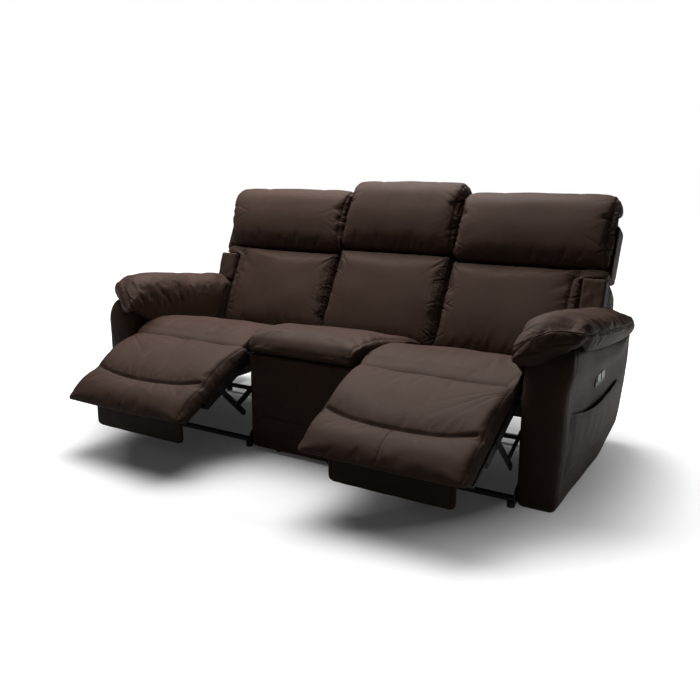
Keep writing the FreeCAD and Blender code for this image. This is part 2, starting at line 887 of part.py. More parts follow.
def make_drive(side):
    """Motor with its guide, clamped to the rear tube, and the rod that pushes the crank."""
    def centred(half):
        return span(side, f"module_middle - {half}", f"module_middle + {half}")

    motor_rear = "motor_tube_y - tube_radius"
    motor_z = ("motor_tube_z - motor_half_height", "motor_tube_z + motor_half_height")
    motor = block(centred("motor_half_width"), (f"{motor_rear} - motor_length", motor_rear), motor_z)
    guide = block(
        centred("guide_half"),
        ("guide_front", f"{motor_rear} - motor_length"),
        ("motor_tube_z - guide_half", "motor_tube_z + guide_half"),
    )
    axis_x = "module_middle" if side == RIGHT else "-(module_middle)"
    axis = (axis_x, "motor_tube_z")
    bore = cylinder("y", ("guide_front", "guide_bore_end"), axis, "rod_radius + pin_clearance")
    node(f"drive_motor_{side}", cut(fuse([motor, guide]), [bore]))
    fork_z = ("motor_tube_z - fork_half", "motor_tube_z + fork_half")
    fork_rear = "rod_pin_y + fork_length"
    fork = cut(
        block(centred("fork_depth"), ("rod_pin_y - fork_half", fork_rear), fork_z),
        [block(centred("fork_gap"), ("rod_pin_y - fork_half", "rod_pin_y + fork_slot"), fork_z)],
    )
    rod = cylinder("y", (fork_rear, "rod_rear"), axis, "rod_radius")
    pin = cylinder("x", centred("fork_depth"), ("rod_pin_y", "motor_tube_z"), "flipper_pin_radius")
    node(f"drive_rod_{side}", fuse([fork, rod, pin]))


def make_arm(side):
    """Padded arm round a wooden frame, with its pillow top and side pocket."""
    outline = [
        ("0", "arm_bottom"),
        ("arm_heel_start", "arm_bottom"),
        ("arm_heel_low_y", "arm_heel_low_z"),
        ("arm_heel_high_y", "arm_heel_high_z"),
        ("arm_depth", "arm_rear_z"),
        ("arm_shoulder_y", "arm_height - arm_shoulder_drop"),
        ("arm_top_rear", "arm_height"),
        ("arm_front_round", "arm_height"),
        ("0", "arm_height - arm_front_round"),
    ]
    padding = profile(outline, span(side, "arm_inner", "arm_outer"), "arm_round")
    hollow = block(
        span(side, "cavity_low", "cavity_high"),
        ("arm_frame_front", "arm_frame_rear"),
        ("arm_frame_bottom", "arm_frame_top"),
    )
    recess = block(
        span(side, "arm_outer - switch_housing", "arm_outer"),
        ("switch_front + switch_rim", "switch_rear - switch_rim"),
        ("switch_bottom + switch_rim", "switch_top - switch_rim"),
    )
    node(f"arm_upholstery_{side}", cut(padding, [hollow, recess]))
    rail = "arm_frame_rail"
    x = span(side, "cavity_low", "cavity_high")
    ring = cut(
        block(x, ("arm_frame_front", "arm_frame_rear"), ("arm_frame_bottom", "arm_frame_top")),
        [
            block(
                x,
                (f"arm_frame_front + {rail}", f"arm_frame_rear - {rail}"),
                (f"arm_frame_bottom + {rail}", f"arm_frame_top - {rail}"),
            )
        ],
    )
    node(f"arm_frame_{side}", ring)
    sign = "" if side == RIGHT else "-"
    plan = [
        ("arm_inner - arm_pad_inner_overhang", "-arm_pad_front"),
        ("arm_outer + arm_pad_outer_overhang", "-arm_pad_front"),
        ("arm_outer + arm_pad_outer_overhang", "arm_pad_rear"),
        ("arm_inner + running_gap", "arm_pad_rear"),
        ("arm_inner + running_gap", "arm_pad_step"),
        ("arm_inner - arm_pad_inner_overhang", "arm_pad_step"),
    ]
    plan = [(f"{sign}({x_place})", y_place) for x_place, y_place in plan]
    node(f"arm_pad_{side}", slab(plan, ("arm_height", "arm_height + arm_pad_thickness"), "cushion_round"))
    pocket_x = span(side, "arm_outer", "arm_outer + pocket_depth + pocket_leather")
    inside_x = span(side, "arm_outer", "arm_outer + pocket_depth")
    pocket = cut(
        block(pocket_x, ("pocket_front", "pocket_rear"), ("pocket_bottom", "pocket_top")),
        [
            block(
                inside_x,
                ("pocket_front + pocket_hem", "pocket_rear - pocket_hem"),
                ("pocket_bottom + pocket_hem", "pocket_top"),
            )
        ],
    )
    node(f"side_pocket_{side}", pocket)


def make_switch(side):
    """Switch plate on the arm's outer side, with one button to open and one to close."""
    flange = block(
        span(side, "arm_outer", "arm_outer + switch_flange"),
        ("switch_front", "switch_rear"),
        ("switch_bottom", "switch_top"),
    )
    housing = block(
        span(side, "arm_outer - switch_housing", "arm_outer"),
        ("switch_front + switch_rim", "switch_rear - switch_rim"),
        ("switch_bottom + switch_rim", "switch_top - switch_rim"),
    )
    face = "arm_outer + switch_flange"
    button_far = f"{face} + button_out"
    button_near = f"{button_far} - button_thickness"
    floor = f"{button_near} - button_travel - button_floor"
    middle_y = "(switch_front + switch_rear) / 2"
    middle_z = "(switch_bottom + switch_top) / 2"
    wells = []
    for name, step in (("open", -0.5), ("close", 0.5)):
        centre = f"{middle_y} + {step} * button_pitch"
        half_long = "button_length / 2"
        half_high = "button_height / 2"
        wells.append(
            block(
                span(side, floor, face),
                (f"{centre} - {half_long} - button_gap", f"{centre} + {half_long} + button_gap"),
                (f"{middle_z} - {half_high} - button_gap", f"{middle_z} + {half_high} + button_gap"),
            )
        )
        button = block(
            span(side, button_near, button_far),
            (f"{centre} - {half_long}", f"{centre} + {half_long}"),
            (f"{middle_z} - {half_high}", f"{middle_z} + {half_high}"),
        )
        node(f"{name}_button_{side}", button)
    node(f"switch_plate_{side}", cut(fuse([flange, housing]), wells))


def make_glides():
    """Round glides under the arms, the tubes and the middle base."""
    feet = []
    for side in (LEFT, RIGHT):
        sign = "" if side == RIGHT else "-"
        arm_x = f"{sign}(arm_inner + arm_width / 2)"
        for y in ("arm_glide_inset", "arm_heel_start - arm_glide_inset / 2"):
            feet.append(cylinder("z", ("0", "arm_bottom"), (arm_x, y), "arm_glide_radius"))
        reach = "(plate + tube_glide_radius)"
        for x in (f"middle_half + {reach}", f"arm_inner - {reach}"):
            for y in ("front_tube_y", "rear_tube_y"):
                top = "floor_tube_z - tube_radius"
                feet.append(cylinder("z", ("0", top), (f"{sign}({x})", y), "tube_glide_radius"))
        for y in ("base_front + middle_glide_radius", "base_rear - 2 * middle_glide_radius"):
            x = f"{sign}(middle_glide_x)"
            if y.startswith("base_rear"):
                x = f"{sign}(middle_half - rail_thickness / 2)"
            feet.append(cylinder("z", ("0", "base_bottom"), (x, y), "middle_glide_radius"))
    node("glides", group(feet))


def build():
    """Make every piece of the sofa."""
    make_glides()
    make_middle_base()
    make_springs()
    make_cushions()
    make_backs()
    for side in (LEFT, RIGHT):
        make_side_plates(side)
        make_tubes(side)
        make_seat_frame(side)
        make_back_brackets(side)
        make_carrier(side)
        make_footrest(side)
        make_links(side)
        make_drive(side)
        make_arm(side)
        make_switch(side)


def check():
    """Stop if anything failed to build."""
    for thing in DOC.Objects:
        if {"Invalid", "Error"} & set(thing.State):
            raise RuntimeError(f"{thing.Name} ({thing.Label}) did not build: {thing.State}")
    for piece in NODES:
        if piece.Shape.isNull() or not piece.Shape.isValid():
            raise RuntimeError(f"{piece.Label} has no sound shape")
        if not piece.Shape.Solids:
            raise RuntimeError(f"{piece.Label} holds no solid")


def export():
    """Write one STEP file for each named piece."""
    os.makedirs("parts", exist_ok=True)
    for piece in NODES:
        piece.Shape.exportStep(f"parts/{piece.Label}.step")


build()
DOC.recompute()
check()
export()
riser = math.hypot(value("riser_y"), value("riser_z"))
print(f"{len(NODES)} nodes, link riser {riser:.1f} mm")
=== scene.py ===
"""Looks of a reclining sofa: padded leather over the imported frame, steel linkages, floor, lamps and camera.

Every shape is worked out in the sofa's own axes: x to the viewer's right, y to the back from the front
of the arms, z up from the floor. The model's origin lies FRONT metres behind the front of the arms.
"""
from __future__ import annotations

import json
import logging
import math
from dataclasses import dataclass
from enum import Enum
from typing import Callable

import bpy
import numpy as np
from mathutils import Matrix, Vector

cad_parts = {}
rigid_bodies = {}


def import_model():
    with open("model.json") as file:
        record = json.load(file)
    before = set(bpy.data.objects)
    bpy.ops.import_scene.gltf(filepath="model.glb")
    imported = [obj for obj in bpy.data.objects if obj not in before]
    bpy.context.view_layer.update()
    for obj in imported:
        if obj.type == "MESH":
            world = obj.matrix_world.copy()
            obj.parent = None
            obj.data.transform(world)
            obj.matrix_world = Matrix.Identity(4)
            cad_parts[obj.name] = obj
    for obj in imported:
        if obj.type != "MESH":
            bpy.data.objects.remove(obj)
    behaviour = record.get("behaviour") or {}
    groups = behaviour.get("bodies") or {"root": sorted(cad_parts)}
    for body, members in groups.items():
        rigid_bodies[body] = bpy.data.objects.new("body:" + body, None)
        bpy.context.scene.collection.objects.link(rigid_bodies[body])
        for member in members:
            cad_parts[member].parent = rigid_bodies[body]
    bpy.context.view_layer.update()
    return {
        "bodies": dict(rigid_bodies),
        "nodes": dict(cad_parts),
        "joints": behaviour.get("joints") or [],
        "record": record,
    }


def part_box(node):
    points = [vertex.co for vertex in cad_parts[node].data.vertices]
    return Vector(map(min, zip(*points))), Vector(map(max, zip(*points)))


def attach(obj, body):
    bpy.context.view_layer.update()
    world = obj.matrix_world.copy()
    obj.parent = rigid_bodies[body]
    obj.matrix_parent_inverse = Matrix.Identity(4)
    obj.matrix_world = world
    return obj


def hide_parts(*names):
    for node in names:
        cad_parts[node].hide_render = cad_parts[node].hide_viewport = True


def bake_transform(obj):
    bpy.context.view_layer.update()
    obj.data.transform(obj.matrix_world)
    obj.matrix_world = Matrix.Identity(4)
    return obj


LOG = logging.getLogger("reclining_sofa")
FRONT = 0.309
ARM_INNER = 0.866
Array = np.ndarray


class Side(Enum):
    """The two mirrored ends of the sofa, with the sign of their x."""

    LEFT = -1.0
    RIGHT = 1.0

    @property
    def word(self) -> str:
        """The side's name in node and body names."""
        return self.name.lower()


class Stitch(Enum):
    """How a seam is sewn: the distance of its stitch rows from the seam, in metres."""

    PLAIN = 0.0
    TOPSTITCHED = 0.006
    DOUBLE = 0.005


# Numbers on arrays


def ramp(value: Array, low: float, high: float) -> Array:
    """Rises smoothly from 0 at low to 1 at high, as 3t^2 - 2t^3.

    Args:
        value: numbers to place on the ramp.
        low: where the ramp is 0.
        high: where the ramp is 1.

    Returns:
        The ramp's height at each value.
    """
    t = np.clip((value - low) / (high - low), 0.0, 1.0)
    return t * t * (3.0 - 2.0 * t)


def spline(points: Array, amount: Array) -> Array:
    """Reads a smooth curve through points, as a cubic Hermite with averaged tangents by arc length.

    Args:
        points: rows of coordinates that the curve passes through.
        amount: places along the curve, 0 to 1.

    Returns:
        One row of coordinates for each amount.
    """
    points = np.asarray(points, float)
    steps = np.linalg.norm(np.diff(points, axis=0), axis=1)
    knots = np.concatenate([[0.0], np.cumsum(steps)])
    knots /= knots[-1]
    slopes = np.gradient(points, knots, axis=0)
    index = np.clip(np.searchsorted(knots, amount, side="right") - 1, 0, len(knots) - 2)
    width = (knots[index + 1] - knots[index])[:, None]
    t = ((amount - knots[index])[:, None]) / width
    start, end = points[index], points[index + 1]
    return (
        (2 * t**3 - 3 * t**2 + 1) * start
        + (t**3 - 2 * t**2 + t) * width * slopes[index]
        + (-2 * t**3 + 3 * t**2) * end
        + (t**3 - t**2) * width * slopes[index + 1]
    )


def waves(places: Array, scale: float, seed: int, count: int = 9) -> Array:
    """Smooth random height, the sum of sines in random directions.

    Args:
        places: rows of one or more coordinates.
        scale: typical distance between crests, in the units of places.
        seed: number that picks the pattern.
        count: how many sines are added.

    Returns:
        One height for each row, mostly between -1 and 1.
    """
    rng = np.random.default_rng(seed)
    places = np.atleast_2d(places.T).T
    directions = rng.normal(size=(count, places.shape[1]))
    directions /= np.linalg.norm(directions, axis=1, keepdims=True)
    rates = 2 * math.pi / scale * rng.uniform(0.6, 1.5, count)
    phases = rng.uniform(0, 2 * math.pi, count)
    return np.sin(places @ (directions * rates[:, None]).T + phases).sum(axis=1) / math.sqrt(count)


def vertex_normals(verts: Array, quads: Array) -> Array:
    """Unit normals, the sum of the cross products of the diagonals of the faces round each vertex.

    Args:
        verts: places of the vertices.
        quads: rows of four vertex numbers.

    Returns:
        One unit normal for each vertex.
    """
    a, b, c, d = (verts[quads[:, i]] for i in range(4))
    face = np.cross(c - a, d - b)
    normals = np.zeros_like(verts)
    for corner in range(4):
        np.add.at(normals, quads[:, corner], face)
    return normals / np.maximum(np.linalg.norm(normals, axis=1, keepdims=True), 1e-12)


# Shapes


@dataclass(frozen=True)
class Turn:
    """A frame turned about x: its origin in y and z, and its angle in degrees."""

    y: float
    z: float
    angle: float

    def place(self, local: Array) -> Array:
        """Carries rows of local x, y, z into the sofa's axes."""
        c, s = math.cos(math.radians(self.angle)), math.sin(math.radians(self.angle))
        return np.stack(
            [
                local[:, 0],
                self.y + local[:, 1] * c - local[:, 2] * s,
                self.z + local[:, 1] * s + local[:, 2] * c,
            ],
            axis=1,
        )


FOOTREST = Turn(0.035, 0.375, 26.6)
BACK = Turn(0.600, 0.365, -25.0)


def unit_block(size: tuple[float, float, float], radius: float, spacing: float) -> tuple[Array, Array]:
    """The surface of a box with rounded edges, as a grid of quads.

    Each face carries a regular grid. A point within the radius of an edge is moved onto the
    sphere or cylinder of that radius about the nearest point of the inner box.

    Args:
        size: full lengths along x, y and z.
        radius: radius of every edge and corner.
        spacing: distance between grid lines.

    Returns:
        Rows of shares from 0 to 1 along each axis, and rows of four vertex numbers.
    """
    size_row = np.array(size)
    counts = np.maximum(np.round(size_row / spacing).astype(int), 4)
    verts, quads, offset = [], [], 0
    for axis in range(3):
        first, second = (axis + 1) % 3, (axis + 2) % 3
        u, v = np.meshgrid(
            np.linspace(-0.5, 0.5, counts[first] + 1),
            np.linspace(-0.5, 0.5, counts[second] + 1),
            indexing="ij",
        )
        number = np.arange(u.size).reshape(u.shape)
        for sign in (-0.5, 0.5):
            points = np.zeros((u.size, 3))
            points[:, axis] = sign
            points[:, first] = u.ravel()
            points[:, second] = v.ravel()
            corners = [number[:-1, :-1], number[1:, :-1], number[1:, 1:], number[:-1, 1:]]
            if sign < 0:
                corners.reverse()
            quads.append(np.stack([c.ravel() for c in corners], axis=1) + offset)
            verts.append(points)
            offset += u.size
    points = np.concatenate(verts)
    faces = np.concatenate(quads)
    keys, back = np.unique(np.round(points * 1e6).astype(np.int64), axis=0, return_inverse=True)
    points, faces = keys / 1e6, back.ravel()[faces]
    places = points * size_row
    inner = np.clip(places, -(size_row / 2 - radius), size_row / 2 - radius)
    away = places - inner
    length = np.linalg.norm(away, axis=1, keepdims=True)
    places = np.where(length > 1e-9, inner + away / np.maximum(length, 1e-9) * radius, places)
    return places / size_row + 0.5, faces


def tube_quads(rows: int, columns: int) -> Array:
    """Joins rings of points into a tube and closes both ends with strips of quads.

    Args:
        rows: number of rings.
        columns: points in each ring, an even number.

    Returns:
        Rows of four point numbers.
    """
    number = np.arange(rows * columns).reshape(rows, columns)
    after = np.roll(number, -1, axis=1)
    sides = np.stack([number[:-1], number[1:], after[1:], after[:-1]], axis=-1).reshape(-1, 4)
    near, far = number[[0, -1], : columns // 2], number[[0, -1], ::-1][:, : columns // 2]
    caps = np.stack([near[:, :-1], near[:, 1:], far[:, 1:], far[:, :-1]], axis=-1)
    return np.concatenate([sides, caps[0], caps[1, :, ::-1]])


def fill_outline(across: Array, up: Array, bottom: Array, top: Array, front: Array, rear: Array) -> Array:
    """Fills a four-sided outline by blending its opposite edges (a Coons patch).

    Args:
        across: share from front to rear at each point.
        up: share from bottom to top at each point.
        bottom: points of the bottom edge, front to rear.
        top: points of the top edge, front to rear.
        front: points of the front edge, bottom to top.
        rear: points of the rear edge, bottom to top.

    Returns:
        Rows of y and z.
    """
    low, high = spline(bottom, across), spline(top, across)
    near, far = spline(front, up), spline(rear, up)
    s, t = across[:, None], up[:, None]
    corners = (
        (1 - s) * (1 - t) * np.asarray(bottom[0])
        + s * (1 - t) * np.asarray(bottom[-1])
        + (1 - s) * t * np.asarray(top[0])
        + s * t * np.asarray(top[-1])
    )
    return (1 - t) * low + t * high + (1 - s) * near + s * far - corners


@dataclass
class Seam:
    """A sewn line on a piece: how far each vertex lies from it and along it.

    Attributes:
        distance: signed distance from the line.
        along: distance along the line.
        depth: how deep the leather is pulled in.
        width: half width of the hollow.
        stitch: how it is sewn.
        inside: where the seam exists, 0 to 1.
    """

    distance: Array
    along: Array
    depth: float = 0.004
    width: float = 0.007
    stitch: Stitch = Stitch.PLAIN
    inside: Array | float = 1.0


@dataclass
class Puckers:
    """Small creases that run away from a sewn line.

    Attributes:
        distance: distance from the line.
        along: distance along the line.
        reach: how far the creases run.
        pitch: typical distance between creases.
        depth: how deep they are.
        seed: number that picks the pattern.
        slant: how far the creases lean, as a share of the distance.
        inside: where they occur, 0 to 1.
    """

    distance: Array
    along: Array
    reach: float
    pitch: float
    depth: float
    seed: int
    slant: float = 0.3
    inside: Array | float = 1.0

    def height(self) -> Array:
        """Sharp valleys where a random wave dips, fading with the distance from the line.

        Returns:
            Height at each vertex, in metres.
        """
        lean = self.along + self.slant * self.distance * np.sign(
            waves(self.along, 4 * self.pitch, self.seed + 7)
        )
        wave = waves(lean, self.pitch, self.seed, 5)
        strength = 0.6 + 0.4 * waves(self.along, 5 * self.pitch, self.seed + 1, 4)
        fade = np.exp(-((np.abs(self.distance) / self.reach) ** 1.4))
        return (
            -self.depth * np.clip(wave, 0.0, 1.6) ** 1.3 * np.clip(strength, 0.1, 1.2) * fade
            * self.inside
        )


Details = tuple[list[Seam], list[Puckers], Array]


@dataclass
class Shell:
    """A closed mesh in the making: its vertices, its quads and where each vertex was at the start."""

    verts: Array
    quads: Array
    rest: Array

    @property
    def normals(self) -> Array:
        """Unit normals at the vertices."""
        return vertex_normals(self.verts, self.quads)

    def push(self, height: Array) -> None:
        """Moves each vertex along its normal."""
        self.verts = self.verts + self.normals * np.reshape(height, (-1, 1))

    def to_object(self, name: str) -> bpy.types.Object:
        """Makes the Blender object, in the model's axes, with the start places as an attribute.

        Args:
            name: name of the new data.

        Returns:
            The new object.
        """
        mesh = bpy.data.meshes.new(name)
        places = self.verts - np.array([0.0, FRONT, 0.0])
        mesh.from_pydata(places.tolist(), [], self.quads.tolist())
        rest = mesh.attributes.new("rest", "FLOAT_VECTOR", "POINT")
        rest.data.foreach_set("vector", self.rest.astype(np.float32).ravel())
        mesh.shade_smooth()
        obj = bpy.data.objects.new(name, mesh)
        bpy.context.scene.collection.objects.link(obj)
        return obj

    @classmethod
    def of_object(cls, obj: bpy.types.Object) -> "Shell":
        """Reads a Blender object of quads back into arrays.

        Args:
            obj: the object to work on.

        Returns:
            The shell read from the mesh.
        """
        mesh = obj.data
        verts = np.zeros(len(mesh.vertices) * 3, np.float32)
        mesh.vertices.foreach_get("co", verts)
        quads = np.zeros(len(mesh.loops), np.int32)
        mesh.loops.foreach_get("vertex_index", quads)
        rest = np.zeros(len(mesh.vertices) * 3, np.float32)
        mesh.attributes["rest"].data.foreach_get("vector", rest)
        places = verts.reshape(-1, 3).astype(float) + np.array([0.0, FRONT, 0.0])
        return cls(places, quads.reshape(-1, 4), rest.reshape(-1, 3).astype(float))


def bake_modifiers(obj: bpy.types.Object) -> None:
    """Replaces the object's mesh with the result of its modifiers, and removes them.

    Args:
        obj: the object to work on.
    """
    graph = bpy.context.evaluated_depsgraph_get()
    mesh = bpy.data.meshes.new_from_object(obj.evaluated_get(graph))
    obj.modifiers.clear()
    old = obj.data
    obj.data = mesh
    bpy.data.meshes.remove(old)
    mesh.name = obj.name


def discard(obj: bpy.types.Object) -> None:
    """Removes a working object and its mesh.

    Args:
        obj: the object to work on.
    """
    mesh = obj.data
    bpy.data.objects.remove(obj)
    bpy.data.meshes.remove(mesh)


@dataclass(frozen=True)
class Stuffing:
    """How a cushion is blown up as cloth before it is sewn down.

    Attributes:
        pressure: pressure inside the cover.
        cap: the furthest that the cover may move.
        frames: length of the simulation.
        slack: share by which the cover is cut larger than the shape, which makes it crease.
    """

    pressure: float = 4.0
    cap: float = 0.024
    frames: int = 20
    slack: float = 0.015

    def swell(self, shell: Shell, held: Array) -> None:
        """Blows the shell up with the held vertices fixed, and keeps each move under the cap.

        Args:
            shell: the cushion's shape, changed in place.
            held: weights from 0 to 1 of how firmly each vertex is held.
        """
        obj = shell.to_object("swelling")
        group = obj.vertex_groups.new(name="held")
        for weight in (0.35, 0.7, 1.0):
            chosen = np.nonzero(held >= weight)[0]
            group.add(chosen.tolist(), weight, "REPLACE")
        cloth = obj.modifiers.new("Cloth", "CLOTH")
        settings = cloth.settings
        settings.quality = 5
        settings.mass = 0.4
        settings.tension_stiffness = settings.compression_stiffness = 22
        settings.shear_stiffness = 8
        settings.bending_stiffness = 0.8
        settings.use_pressure = True
        settings.uniform_pressure_force = self.pressure
        settings.shrink_min = -self.slack
        settings.effector_weights.gravity = 0
        settings.vertex_group_mass = "held"
        cloth.collision_settings.use_collision = False
        cloth.collision_settings.use_self_collision = False
        scene = bpy.context.scene
        for frame in range(1, self.frames + 1):
            scene.frame_set(frame)
        bake_modifiers(obj)
        moved = Shell.of_object(obj).verts - shell.verts
        discard(obj)
        scene.frame_set(1)
        length = np.linalg.norm(moved, axis=1, keepdims=True)
        limit = self.cap * np.tanh(length / self.cap) / np.maximum(length, 1e-9)
        shell.verts = shell.verts + moved * limit


# Finishes


def new_group(name: str, inputs: dict[str, float], outputs: list[str]) -> tuple[
    bpy.types.NodeTree,
    dict,
]:
    """Starts a shader node group with float inputs and outputs.

    Args:
        name: the group's name.
        inputs: name and default of each float input.
        outputs: names of the float outputs.

    Returns:
        The node tree, and its group input and output nodes by "in" and "out".
    """
    tree = bpy.data.node_groups.new(name, "ShaderNodeTree")
    for label, default in inputs.items():
        socket = tree.interface.new_socket(name=label, in_out="INPUT", socket_type="NodeSocketFloat")
        socket.default_value = default
    for label in outputs:
        tree.interface.new_socket(name=label, in_out="OUTPUT", socket_type="NodeSocketFloat")
    return tree, {"in": tree.nodes.new("NodeGroupInput"), "out": tree.nodes.new("NodeGroupOutput")}


class Wiring:
    """Adds nodes to a tree and joins them."""

    def __init__(self, tree: bpy.types.NodeTree) -> None:
        """Keeps the tree that the nodes go into."""
        self.tree = tree

    def add(self, kind: str, **settings: object) -> bpy.types.Node:
        """Adds one node and sets its properties.

        Args:
            kind: type name of the node.

        Returns:
            The new node.
        """
        node = self.tree.nodes.new(kind)
        for label, setting in settings.items():
            setattr(node, label, setting)
        return node

    def join(self, source: bpy.types.NodeSocket, target: bpy.types.NodeSocket) -> None:
        """Joins an output to an input."""
        self.tree.links.new(source, target)

    def feed(self, target: bpy.types.NodeSocket, source: object) -> None:
        """Joins a socket, or writes a number into the input."""
        if isinstance(source, bpy.types.NodeSocket):
            self.join(source, target)
        else:
            target.default_value = source

    def math(self, operation: str, *values: object, clamp: bool = False) -> bpy.types.NodeSocket:
        """Adds a Math node fed by sockets or numbers, and returns its output.

        Args:
            operation: name of the Math node's operation.
            values: sockets or numbers to work on.

        Returns:
            The node's output.
        """
        node = self.add("ShaderNodeMath", operation=operation, use_clamp=clamp)
        for socket, value in zip(node.inputs, values):
            self.feed(socket, value)
        return node.outputs[0]

    def noise(
        self, vector: bpy.types.NodeSocket, scale: object, detail: float, rough: float = 0.5
    ) -> bpy.types.NodeSocket:
        """Adds a Noise Texture and returns its height.

        Args:
            vector: socket with the place.
            scale: cells per metre, a number or a socket.
            detail: octaves of the noise.
            rough: weight of the finer octaves.

        Returns:
            The noise's height.
        """
        node = self.add("ShaderNodeTexNoise")
        self.join(vector, node.inputs["Vector"])
        self.feed(node.inputs["Scale"], scale)
        node.inputs["Detail"].default_value = detail
        node.inputs["Roughness"].default_value = rough
        return node.outputs["Fac"]

    def rescale(self, value: bpy.types.NodeSocket, old: tuple, new: tuple) -> bpy.types.NodeSocket:
        """Adds a clamped Map Range node from one span to another.

        Args:
            value: socket to rescale.
            old: span of the value that is read.
            new: span that it is mapped to.

        Returns:
            The rescaled value.
        """
        node = self.add("ShaderNodeMapRange")
        self.join(value, node.inputs["Value"])
        for label, number in zip(("From Min", "From Max", "To Min", "To Max"), (*old, *new)):
            node.inputs[label].default_value = number
        return node.outputs["Result"]

    def blend_colours(self, share: object, first: object, second: object) -> bpy.types.NodeSocket:
        """Adds a colour Mix node, each side a socket or an RGB triple.

        Args:
            share: socket or number that mixes the two.
            first: colour at share 0.
            second: colour at share 1.

        Returns:
            The mixed colour.
        """
        node = self.add("ShaderNodeMix", data_type="RGBA")
        self.feed(node.inputs["Factor"], share)
        for label, colour in (("A", first), ("B", second)):
            socket = [s for s in node.inputs if s.name == label and s.type == "RGBA"][0]
            self.feed(socket, colour if isinstance(colour, bpy.types.NodeSocket) else (*colour, 1.0))
        return [s for s in node.outputs if s.type == "RGBA"][0]

    def attribute(self, name: str) -> bpy.types.NodeSocket:
        """Reads a float attribute of the mesh."""
        return self.add("ShaderNodeAttribute", attribute_name=name).outputs["Fac"]


